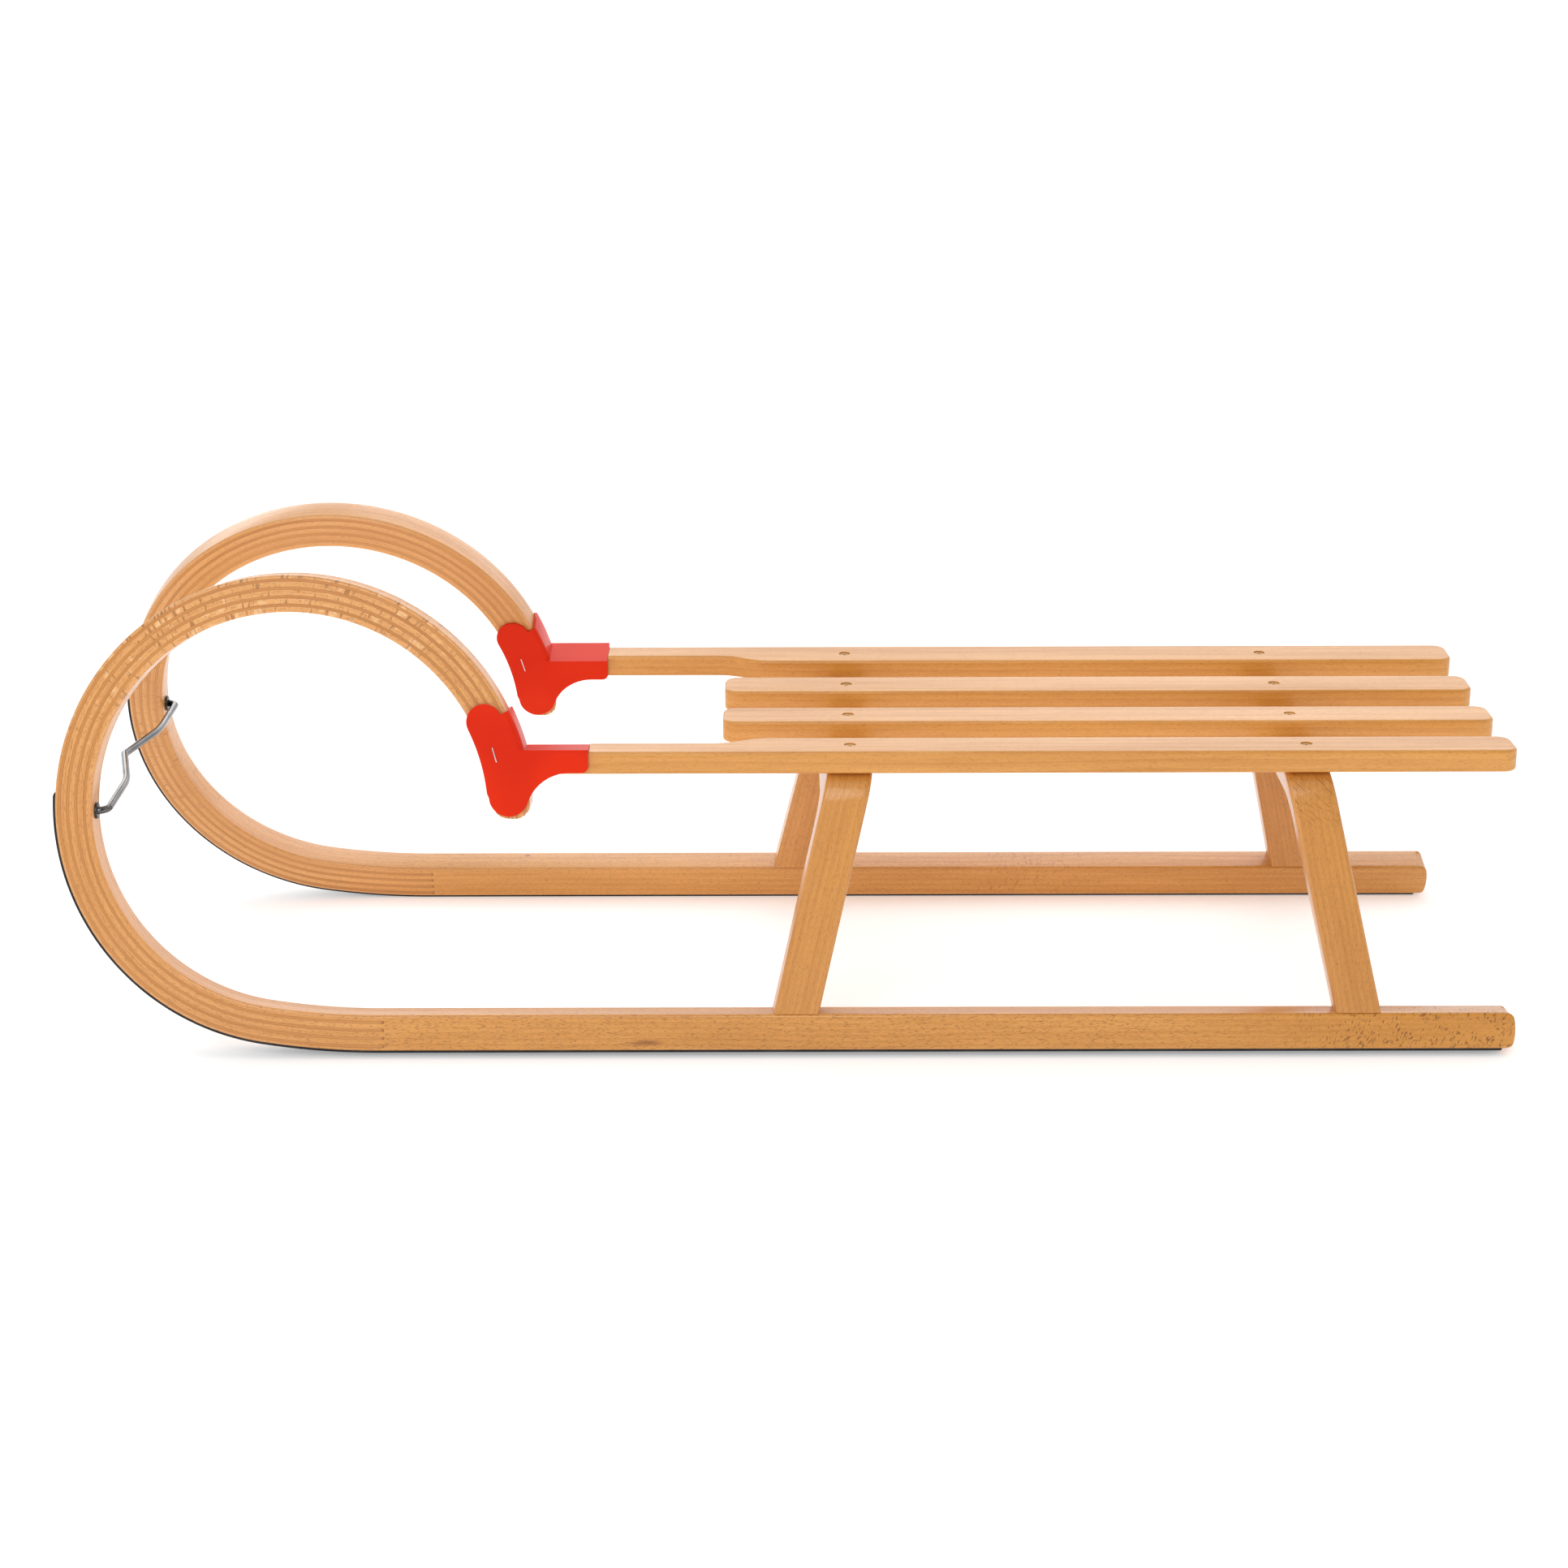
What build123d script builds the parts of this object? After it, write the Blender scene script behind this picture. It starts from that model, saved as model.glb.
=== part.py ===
from build123d import *
from math import asin, cos, degrees, radians, sin, sqrt, tan
import os

# Horn sled in beech, millimetres. +X runs forward to the horns, +Y to the left, +Z up from the ground.
# One bent bar makes each runner and its horn. Both lean inwards, so the sled runs on their inner edges.

# Runner and horn: a straight bar, a slack lead-in bend, then one round loop up and back past the seat arm
runner_width = 29.0
runner_height = 29.0
straight_length = 898.0
lead_radius = 580.0
lead_sweep = 9.0
loop_radius = 171.5
horn_overrun = 18.5
half_track = 190.0
cant = 10.8
rear_bulge = 2.0
rear_round = 4.0
tip_round = 12.0
bar_edge_round = 2.5

# Kerfs sawn into the bar from the horn's tip, each filled with a glued veneer
kerf_count = 4
veneer_thickness = 2.4
lamina_thickness = 4.1
outer_lamina = 2.6
kerf_run_in = 4.0
kerf_overrun = 5.0

# Steel shoe under the runner and up the front of the horn
shoe_width = 24.5
shoe_thickness = 2.0
shoe_end_heading = 95.0
shoe_rear_gap = 4.0

# Bent bridges that carry the seat: two splayed legs and a crossbar in one bar
bridge_width = 36.0
bridge_thickness = 28.0
bridge_lean = 13.0
bridge_inner_bend = 22.0
bridge_outer_bend = 26.0
bridge_edge_round = 3.0
front_bridge_x = 525.5
rear_bridge_x = 167.0
tenon_length = 22.0
tenon_width = 12.0
tenon_depth = 14.0
tenon_root = 3.0

# Seat slats, laid in a shallow hollow across the bridges
seat_height = 240.0
dish_radius = 4000.0
slat_width = 41.0
slat_thickness = 18.0
slat_rear_x = 4.0
inner_slat_front_x = 627.0
slat_corner = 11.0
slat_edge_round = 2.5
arm_width = 27.0
taper_start_x = 598.0
taper_end_x = 626.0
taper_round = 40.0
counterbore_diameter = 9.5
counterbore_depth = 8.0
screw_hole = 5.0

# Plastic caps that join horn tip and seat arm
cap_wall = 2.5
cap_lip = 3.2
cap_edge_round = 5.0
cap_arm_length = 46.0
cap_arm_drop = 18.0
cap_arm_rise = 0.3
cap_head_rise = 8.5
cap_head_lobe = 14.0
cap_lip_drop = 11.0
cap_tip_drop = 12.5
cap_tip_lobe = 15.5
cap_tip_shift = 1.3
cap_throat = 35.0
cap_corner = 5.0

# Steel draw bar between the horns, kinked in the middle so that a line stays centred
bar_diameter = 6.0
bar_standoff = 9.0
bar_kink = 16.0
bar_kink_half = 66.0
bar_end_bend = 8.0
bar_kink_bend = 110.0
bar_apex_bend = 7.0
bar_bore_depth = 16.0
bar_end_gap = 1.0
washer_diameter = 13.0
washer_thickness = 2.0

fit_clearance = 0.2
seat_clearance = 0.3

# How far, in degrees, a cut along the horn runs past what it clears, and how close counts as a match
cut_margin = 20.0
match_tolerance = 0.01

# Derived places in the plane of the left runner's outer face: x forward from the rear end, s up the face
cant_cos = cos(radians(cant))
cant_sin = sin(radians(cant))
half_height = runner_height / 2
lead_centre = Vector(straight_length, half_height + lead_radius)
lead_end = lead_centre + Vector(sin(radians(lead_sweep)), -cos(radians(lead_sweep))) * lead_radius
loop_centre = lead_end + Vector(-sin(radians(lead_sweep)), cos(radians(lead_sweep))) * loop_radius
convex_radius = loop_radius + half_height
concave_radius = loop_radius - half_height
front_x = loop_centre.X + convex_radius + shoe_thickness
middle_x = front_x / 2
face_base_z = shoe_thickness * cant_cos + (runner_width + shoe_width) / 2 * cant_sin
side = Plane(
    origin=(-middle_x, half_track, face_base_z),
    x_dir=(1, 0, 0),
    z_dir=(0, -cant_cos, -cant_sin),
)
kerf_pitch = lamina_thickness + veneer_thickness

# Seat places: the outer slats line up with the horns, the inner ones share the space between them
slat_middle_z = seat_height - slat_thickness / 2
slat_middle_s = (slat_middle_z - face_base_z + runner_width / 2 * cant_sin) / cant_cos
horn_middle_y = half_track - slat_middle_s * cant_sin - runner_width / 2 * cant_cos
outer_slat_y = horn_middle_y + arm_width / 2 - slat_width / 2
inner_slat_y = outer_slat_y / 3
crossbar_top_z = seat_height - slat_thickness - (dish_radius - sqrt(dish_radius**2 - outer_slat_y**2))

# Cap places: headings count from where the top of the seat arm meets the horn
cap_arm_top = slat_middle_s + slat_thickness / 2 / cant_cos + cap_arm_rise
cap_arm_end_x = loop_centre.X - convex_radius - cap_arm_length
arm_heading = 270 - degrees(asin((cap_arm_top - loop_centre.Y) / loop_radius))
tip_heading = arm_heading + horn_overrun
cap_head_heading = arm_heading - cap_head_rise
cap_lip_heading = arm_heading + cap_lip_drop
cap_tip_heading = arm_heading + cap_tip_drop


def side_slab(face, depth_start, depth_end):
    """Thicken a flat face of the runner's plane between two depths behind its outer face."""
    return extrude(side.offset(depth_start) * face, amount=depth_end - depth_start, dir=side.z_dir)


def loop_point(radius, heading):
    """Point on the horn's loop where the bar's direction has turned by the heading."""
    angle = radians(heading)
    return loop_centre + Vector(sin(angle), -cos(angle)) * radius


def bar_band(low, high, start_x, end_heading, bulge=0):
    """Flat strip along the bar between two offsets from its middle line, towards the loop's centre.

    A bulge rounds its rear end outwards.
    """
    edges = []
    for offset in (low, high):
        edges.append(Line((start_x, half_height + offset), (straight_length, half_height + offset)))
        edges.append(CenterArc(lead_centre, lead_radius - offset, -90, lead_sweep))
        edges.append(CenterArc(loop_centre, loop_radius - offset, lead_sweep - 90, end_heading - lead_sweep))
    rear_low = (start_x, half_height + low)
    rear_high = (start_x, half_height + high)
    if bulge:
        edges.append(ThreePointArc(rear_low, (start_x - bulge, half_height + (low + high) / 2), rear_high))
    else:
        edges.append(Line(rear_low, rear_high))
    edges.append(Line(loop_point(loop_radius - low, end_heading), loop_point(loop_radius - high, end_heading)))
    return make_face(edges)


def loop_band(inner_radius, outer_radius, start_heading, end_heading):
    """Flat ring segment about the loop's centre."""
    sweep = end_heading - start_heading
    return make_face([
        CenterArc(loop_centre, inner_radius, start_heading - 90, sweep),
        CenterArc(loop_centre, outer_radius, start_heading - 90, sweep),
        Line(loop_point(inner_radius, start_heading), loop_point(outer_radius, start_heading)),
        Line(loop_point(inner_radius, end_heading), loop_point(outer_radius, end_heading)),
    ])


def polygon(points):
    """Flat face inside straight edges through the points."""
    return make_face(Polyline(*points, close=True))


def runner_bar():
    """Whole bent bar of the left runner, before it is sawn."""
    outline = bar_band(-half_height, half_height, rear_bulge, tip_heading, rear_bulge)
    rear_corners = outline.vertices().sort_by(Axis.X)[:2]
    outline = fillet(rear_corners, rear_round)
    tip = loop_point(loop_radius, tip_heading)
    tip_corners = outline.vertices().sort_by_distance((tip.X, tip.Y, 0))[:2]
    outline = fillet(tip_corners, tip_round)
    bar = side_slab(outline, 0, runner_width)
    side_faces = bar.faces().sort_by(Axis(side.origin, side.z_dir))
    return fillet(side_faces[0].edges() + side_faces[-1].edges(), bar_edge_round)


def kerf_slots():
    """Saw cuts from the start of the bend to beyond the horn's tip."""
    slots = []
    for index in range(kerf_count):
        low = -half_height + outer_lamina + index * kerf_pitch
        strip = bar_band(low, low + veneer_thickness, straight_length - kerf_run_in, tip_heading + kerf_overrun)
        slots.append(side_slab(strip, -kerf_overrun, runner_width + kerf_overrun))
    return slots


def tenon(bridge_x, lean_sign, growth):
    """Tenon of a left leg, or its mortise when grown."""
    foot_z = face_base_z + runner_height * cant_cos - runner_width / 2 * cant_sin
    foot_x = bridge_x + lean_sign * (crossbar_top_z - foot_z) * tan(radians(bridge_lean))
    half_length = tenon_length / 2 + growth
    low = runner_height - tenon_depth - growth
    plate = polygon([
        (foot_x - half_length, low),
        (foot_x + half_length, low),
        (foot_x + half_length, runner_height + tenon_root),
        (foot_x - half_length, runner_height + tenon_root),
    ])
    inset = (runner_width - tenon_width) / 2 - growth
    return side_slab(plate, inset, runner_width - inset)


def draw_bar_bore():
    """Blind hole for the draw bar in the horn's concave face."""
    mouth = side.from_local_coords((loop_centre.X + concave_radius, loop_centre.Y, runner_width / 2))
    drill = Plane(origin=mouth - Vector(bar_standoff, 0, 0), z_dir=(1, 0, 0))
    return extrude(drill * Circle(bar_diameter / 2 + fit_clearance), amount=bar_standoff + bar_bore_depth)


def shoe():
    """Steel strip along the running face."""
    rear_x = rear_bulge + rear_round + shoe_rear_gap
    strip = bar_band(-half_height - shoe_thickness, -half_height, rear_x, shoe_end_heading)
    inset = (runner_width - shoe_width) / 2
    return side_slab(strip, inset, runner_width - inset)


def leg_line_meets_dish(depth, dish_z):
    """Point (y, z) where a left leg's face at a depth meets the hollow whose lowest point is at dish_z."""
    base_y = half_track - depth * cant_cos
    base_z = face_base_z - depth * cant_sin
    centre_z = dish_z + dish_radius
    along = -base_y * cant_sin + (base_z - centre_z) * cant_cos
    gap = base_y**2 + (base_z - centre_z) ** 2 - dish_radius**2
    s = -along - sqrt(along**2 - gap)
    return (base_y - s * cant_sin, base_z + s * cant_cos)


def leg_foot(depth):
    """Point (y, z) of a left leg's foot on top of the runner."""
    return (
        half_track - depth * cant_cos - runner_height * cant_sin,
        face_base_z - depth * cant_sin + runner_height * cant_cos,
    )


def bridge(bridge_x, lean_sign):
    """Bent arch whose legs stand on both runners, cut level at the top."""
    outer_depth = (runner_width - bridge_thickness) / 2
    inner_depth = outer_depth + bridge_thickness
    under_z = crossbar_top_z - bridge_thickness

    def flipped(point):
        return (-point[0], point[1])

    outer_top = leg_line_meets_dish(outer_depth, crossbar_top_z)
    inner_top = leg_line_meets_dish(inner_depth, under_z)
    outer_foot = leg_foot(outer_depth)
    inner_foot = leg_foot(inner_depth)
    arch = make_face([
        Line(outer_foot, outer_top),
        ThreePointArc(outer_top, (0, crossbar_top_z), flipped(outer_top)),
        Line(flipped(outer_top), flipped(outer_foot)),
        Line(flipped(outer_foot), flipped(inner_foot)),
        Line(flipped(inner_foot), flipped(inner_top)),
        ThreePointArc(flipped(inner_top), (0, under_z), inner_top),
        Line(inner_top, inner_foot),
        Line(inner_foot, outer_foot),
    ])
    outer_corners = arch.vertices().filter_by(lambda v: v.Y > crossbar_top_z)
    arch = fillet(outer_corners, bridge_outer_bend)
    inner_corners = arch.vertices().sort_by_distance((inner_top[0], inner_top[1], 0))[:1]
    inner_corners += arch.vertices().sort_by_distance((-inner_top[0], inner_top[1], 0))[:1]
    arch = fillet(inner_corners, bridge_inner_bend)
    across = Plane(origin=(-front_x, 0, 0), x_dir=(0, 1, 0), z_dir=(1, 0, 0))
    arch_bar = extrude(across * arch, amount=2 * front_x)
    low_z = 0
    high_z = outer_top[1] + bridge_thickness
    shift_low = lean_sign * (crossbar_top_z - low_z) * tan(radians(bridge_lean))
    shift_high = lean_sign * (crossbar_top_z - high_z) * tan(radians(bridge_lean))
    centre_x = bridge_x - middle_x
    half_width = bridge_width / 2
    lean = polygon([
        (centre_x + shift_low - half_width, low_z),
        (centre_x + shift_low + half_width, low_z),
        (centre_x + shift_high + half_width, high_z),
        (centre_x + shift_high - half_width, high_z),
    ])
    lean_slab = extrude(Plane.XZ * lean, amount=2 * half_track, both=True)
    body = arch_bar & lean_slab
    lean_normal = Vector(1, 0, lean_sign * tan(radians(bridge_lean))).normalized()
    leaning_faces = [
        face for face in body.faces() if abs(face.normal_at().dot(lean_normal)) > 1 - match_tolerance
    ]
    long_edges = [
        edge for face in leaning_faces for edge in face.edges()
        if edge.center().Z > outer_foot[1] + bridge_edge_round
    ]
    body = fillet(long_edges, bridge_edge_round)
    left_tenon = tenon(bridge_x, lean_sign, 0) & lean_slab
    return body + left_tenon + mirror(left_tenon, about=Plane.XZ)


def slat_plank(outline):
    """Plank with rounded long edges, its underside at z = 0."""
    plank = extrude(outline, amount=slat_thickness)
    rims = plank.faces().sort_by(Axis.Z)
    plank = fillet(rims[0].edges() + rims[-1].edges(), slat_edge_round)
    for x in (front_bridge_x, rear_bridge_x):
        spot = Pos(x - middle_x, 0, slat_thickness)
        plank -= spot * Cylinder(screw_hole / 2, 3 * slat_thickness)
        plank -= spot * Cylinder(counterbore_diameter / 2, 2 * counterbore_depth)
    return plank


def seat_place(y):
    """Place of a plank that lies in the hollow of the bridges with its middle at y."""
    tilt = asin(y / dish_radius)
    lift = dish_radius - sqrt(dish_radius**2 - (slat_width / 2) ** 2)
    reach = dish_radius - lift
    return Pos(0, reach * sin(tilt), crossbar_top_z + dish_radius - reach * cos(tilt)) * Rot(degrees(tilt), 0, 0)


def inner_slat():
    """Left inner slat."""
    length = inner_slat_front_x - slat_rear_x
    middle = (inner_slat_front_x + slat_rear_x) / 2 - middle_x
    outline = Pos(middle, 0) * RectangleRounded(length, slat_width, slat_corner)
    return seat_place(inner_slat_y) * slat_plank(outline)


def outer_slat():
    """Left outer slat: its arm runs on to the horn, where the cap takes its bevelled end."""
    half = slat_width / 2
    arm_front_x = loop_centre.X - concave_radius
    outline = polygon([
        (slat_rear_x - middle_x, half),
        (arm_front_x - middle_x, half),
        (arm_front_x - middle_x, half - arm_width),
        (taper_end_x - middle_x, half - arm_width),
        (taper_start_x - middle_x, -half),
        (slat_rear_x - middle_x, -half),
    ])
    rear_corners = outline.vertices().sort_by(Axis.X)[:2]
    outline = fillet(rear_corners, slat_corner)
    for corner in ((taper_end_x - middle_x, half - arm_width, 0), (taper_start_x - middle_x, -half, 0)):
        outline = fillet(outline.vertices().sort_by_distance(corner)[:1], taper_round)
    plank = seat_place(outer_slat_y) * slat_plank(outline)
    horn = bar_band(-half_height - seat_clearance, half_height, 0, tip_heading + cut_margin)
    plank -= side_slab(horn, -runner_width, 2 * runner_width)
    end_seat = polygon([
        (cap_arm_end_x - seat_clearance, 0),
        (front_x, 0),
        (front_x, cap_arm_top - cap_wall - seat_clearance),
        (cap_arm_end_x - seat_clearance, cap_arm_top - cap_wall - seat_clearance),
    ])
    beyond_cap = polygon([
        (cap_arm_end_x - seat_clearance, 0),
        (front_x, 0),
        (front_x, 2 * seat_height),
        (cap_arm_end_x - seat_clearance, 2 * seat_height),
    ])
    waste = side_slab(beyond_cap, -2 * runner_width, 3 * runner_width)
    waste -= side_slab(end_seat, 0, runner_width)
    return plank - waste


def cap_outline():
    """Side view of a cap: lobe up the horn, lobe round its tip, and a tongue along the seat arm."""
    web_radius = convex_radius + seat_clearance + cap_wall
    lip_radius = concave_radius - seat_clearance - cap_lip
    arm_bottom = cap_arm_top - cap_arm_drop
    tip_radius = loop_radius - cap_tip_shift
    tip_centre = loop_point(tip_radius, cap_tip_heading)
    throat_y = arm_bottom - cap_throat
    reach = cap_throat + cap_tip_lobe
    throat_centre = Vector(tip_centre.X - sqrt(reach**2 - (tip_centre.Y - throat_y) ** 2), throat_y)
    tangent = tip_centre + (throat_centre - tip_centre).normalized() * cap_tip_lobe
    throat_start = throat_centre + Vector(0, cap_throat)
    throat_middle = throat_centre + (throat_start + tangent - throat_centre * 2).normalized() * cap_throat
    tip_inner = loop_point(tip_radius - cap_tip_lobe, cap_tip_heading)
    head_radius = lip_radius + cap_head_lobe
    head_top = loop_point(head_radius, cap_head_heading)
    head_top += Vector(-cos(radians(cap_head_heading)), -sin(radians(cap_head_heading))) * cap_head_lobe
    head_notch = loop_point(head_radius + cap_head_lobe, cap_head_heading)
    web_foot_x = loop_centre.X - sqrt(web_radius**2 - (cap_arm_top - loop_centre.Y) ** 2)
    web_foot_heading = 270 - degrees(asin((cap_arm_top - loop_centre.Y) / web_radius))
    web_middle_heading = (web_foot_heading + cap_head_heading) / 2
    lip_middle_heading = (cap_lip_heading + cap_head_heading) / 2
    outline = make_face([
        Line((cap_arm_end_x, arm_bottom), throat_start),
        ThreePointArc(throat_start, throat_middle, tangent),
        ThreePointArc(tangent, tip_centre - Vector(0, cap_tip_lobe), tip_inner),
        Line(tip_inner, loop_point(lip_radius, cap_lip_heading)),
        ThreePointArc(
            loop_point(lip_radius, cap_lip_heading),
            loop_point(lip_radius, lip_middle_heading),
            loop_point(lip_radius, cap_head_heading),
        ),
        ThreePointArc(loop_point(lip_radius, cap_head_heading), head_top, head_notch),
        Line(head_notch, loop_point(web_radius, cap_head_heading)),
        ThreePointArc(
            loop_point(web_radius, cap_head_heading),
            loop_point(web_radius, web_middle_heading),
            (web_foot_x, cap_arm_top),
        ),
        Line((web_foot_x, cap_arm_top), (cap_arm_end_x, cap_arm_top)),
        Line((cap_arm_end_x, cap_arm_top), (cap_arm_end_x, arm_bottom)),
    ])
    arm_corner = outline.vertices().sort_by_distance((cap_arm_end_x, arm_bottom, 0))[:1]
    return fillet(arm_corner, cap_corner)


def horn_cap():
    """Left cap: two cheeks, a web behind the horn, a plate over the arm and a lip in the loop."""
    inner_low = -seat_clearance
    inner_high = runner_width + seat_clearance
    cap = side_slab(cap_outline(), inner_low - cap_wall, inner_high + cap_wall)
    web_radius = convex_radius + seat_clearance + cap_wall
    web_edges = [
        edge for edge in cap.edges().filter_by(GeomType.CIRCLE)
        if abs(edge.radius - web_radius) < match_tolerance
    ]
    cap = fillet(web_edges, cap_edge_round)
    channel = loop_band(
        concave_radius - seat_clearance,
        convex_radius + seat_clearance,
        cap_head_heading - cut_margin,
        tip_heading + cut_margin,
    )
    cap -= side_slab(channel, inner_low, inner_high)
    under_plate = polygon([
        (cap_arm_end_x - slat_width, 0),
        (loop_centre.X, 0),
        (loop_centre.X, cap_arm_top - cap_wall),
        (cap_arm_end_x - slat_width, cap_arm_top - cap_wall),
    ])
    under_plate -= Pos(loop_centre.X, loop_centre.Y) * Circle(loop_radius)
    cap -= side_slab(under_plate, inner_low, inner_high)
    below_lip = loop_band(concave_radius / 2, loop_radius, cap_lip_heading, tip_heading + cut_margin)
    return cap - side_slab(below_lip, inner_low, inner_high)


def draw_bar():
    """Round steel bar whose ends turn forward into the horns."""
    end = side.from_local_coords((loop_centre.X + concave_radius, loop_centre.Y, runner_width / 2))
    deep_x = end.X + bar_bore_depth - bar_end_gap
    run_x = end.X - bar_standoff
    apex_x = run_x + bar_kink
    points = [
        (deep_x, end.Y, end.Z),
        (run_x, end.Y, end.Z),
        (run_x, bar_kink_half, end.Z),
        (apex_x, 0, end.Z),
        (run_x, -bar_kink_half, end.Z),
        (run_x, -end.Y, end.Z),
        (deep_x, -end.Y, end.Z),
    ]
    radii = [bar_end_bend, bar_kink_bend, bar_apex_bend, bar_kink_bend, bar_end_bend]
    route = FilletPolyline(*points, radius=radii)
    start = Plane(origin=points[0], z_dir=(-1, 0, 0))
    return sweep(start * Circle(bar_diameter / 2), path=route)


def bar_washer():
    """Washer round the left end of the draw bar, on the horn's concave face."""
    face_drop = concave_radius - sqrt(concave_radius**2 - (washer_diameter / 2) ** 2)
    seat = side.from_local_coords((loop_centre.X + concave_radius - face_drop, loop_centre.Y, runner_width / 2))
    ring = Circle(washer_diameter / 2) - Circle(bar_diameter / 2 + fit_clearance)
    return extrude(Plane(origin=seat, z_dir=(-1, 0, 0)) * ring, amount=washer_thickness)


def build():
    """All named pieces of the sled."""
    whole_bar = runner_bar()
    slots = kerf_slots()
    bore = draw_bar_bore()
    bridges = {"bridge_front": (front_bridge_x, 1), "bridge_rear": (rear_bridge_x, -1)}
    runner = whole_bar - bore
    for slot in slots:
        runner -= slot
    for place in bridges.values():
        runner -= tenon(*place, fit_clearance)
    left_pieces = {
        "runner": runner,
        "runner_shoe": shoe(),
        "outer_slat": outer_slat(),
        "inner_slat": inner_slat(),
        "horn_cap": horn_cap(),
        "draw_bar_washer": bar_washer(),
    }
    for index, slot in enumerate(slots, start=1):
        left_pieces[f"kerf_veneer_{index}"] = (whole_bar & slot) - bore
    pieces = {name: bridge(*place) for name, place in bridges.items()}
    pieces["draw_bar"] = draw_bar()
    for name, piece in left_pieces.items():
        pieces[f"{name}_left"] = piece
        pieces[f"{name}_right"] = mirror(piece, about=Plane.XZ)
    return pieces


os.makedirs("parts", exist_ok=True)
for node, piece in build().items():
    export_step(piece, f"parts/{node}.step")
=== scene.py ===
import logging
import math
from dataclasses import dataclass
from enum import Enum
from typing import Callable, Mapping, Optional, Sequence, Union

import bmesh
import bpy
from mathutils import Matrix, Vector


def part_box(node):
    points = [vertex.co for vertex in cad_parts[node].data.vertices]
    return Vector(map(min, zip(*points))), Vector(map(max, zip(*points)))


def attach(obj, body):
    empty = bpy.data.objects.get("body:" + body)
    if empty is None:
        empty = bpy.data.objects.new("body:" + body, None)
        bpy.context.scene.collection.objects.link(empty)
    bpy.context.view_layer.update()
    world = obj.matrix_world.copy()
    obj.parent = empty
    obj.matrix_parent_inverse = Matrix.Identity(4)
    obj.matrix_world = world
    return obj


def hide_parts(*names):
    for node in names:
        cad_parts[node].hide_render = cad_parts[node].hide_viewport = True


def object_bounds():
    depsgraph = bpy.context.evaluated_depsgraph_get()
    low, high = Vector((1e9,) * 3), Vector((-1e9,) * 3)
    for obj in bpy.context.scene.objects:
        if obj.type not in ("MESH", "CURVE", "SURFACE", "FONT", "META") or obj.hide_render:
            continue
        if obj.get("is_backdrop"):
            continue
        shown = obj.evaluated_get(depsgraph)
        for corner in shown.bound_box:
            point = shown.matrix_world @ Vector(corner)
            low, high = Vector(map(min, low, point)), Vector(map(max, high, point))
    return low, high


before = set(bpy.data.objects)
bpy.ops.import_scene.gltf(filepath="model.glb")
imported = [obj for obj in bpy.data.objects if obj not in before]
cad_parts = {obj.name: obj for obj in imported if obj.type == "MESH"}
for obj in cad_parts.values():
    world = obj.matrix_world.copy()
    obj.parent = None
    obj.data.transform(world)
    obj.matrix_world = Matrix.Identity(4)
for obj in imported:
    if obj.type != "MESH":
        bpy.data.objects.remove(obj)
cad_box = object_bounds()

LOG = logging.getLogger("horn_sled")
BODY = "root"
GRAIN = "grain"
WELD_REACH = 2e-6
SLIVER_REACH = 1e-7
TINY = 1e-6
# Sockets of a colour Mix node go by number, because their names repeat.
MIX_FACTOR, MIX_FIRST, MIX_SECOND, MIX_RESULT = 0, 6, 7, 2

Socket = bpy.types.NodeSocket
Value = Union[float, tuple, Socket]
Triple = tuple[float, float, float]
Colour = tuple[float, float, float, float]
WHITE: Colour = (1.0, 1.0, 1.0, 1.0)


class Side(Enum):
    """Which half of the sled a piece belongs to, with its sign along Y."""

    LEFT = 1
    RIGHT = -1

    @property
    def tag(self) -> str:
        """Ending of the names of this side's pieces."""
        return self.name.lower()


class Cheek(Enum):
    """Outer or inner wall of a horn cap, with the sign of the way from its face into the wood."""

    OUTER = 1
    INNER = -1


class Smoothing(Enum):
    """Largest angle, in degrees, that is shaded smooth on each kind of piece."""

    SCREW = 25.0
    BOARD = 28.0
    MOULDING = 30.0
    BENT_BAR = 35.0
    FLAT_STEEL = 40.0
    ROD = 50.0


def quarter_round(radius: float, steps: int = 4) -> list[tuple[float, float]]:
    """Rounded corner between two faces at a right angle.

    Args:
        radius: radius of the corner.
        steps: number of chords.

    Returns:
        Rows of the way run along one face and the way left to the other.
    """
    angles = [math.pi / 2 * step / steps for step in range(steps + 1)]
    return [(radius * (1 - math.cos(angle)), radius * (1 - math.sin(angle))) for angle in angles]


def outward_at(heading: float) -> Vector:
    """Way out of a bend where the bar has turned by a heading."""
    return Vector((math.sin(heading), -math.cos(heading)))


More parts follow.
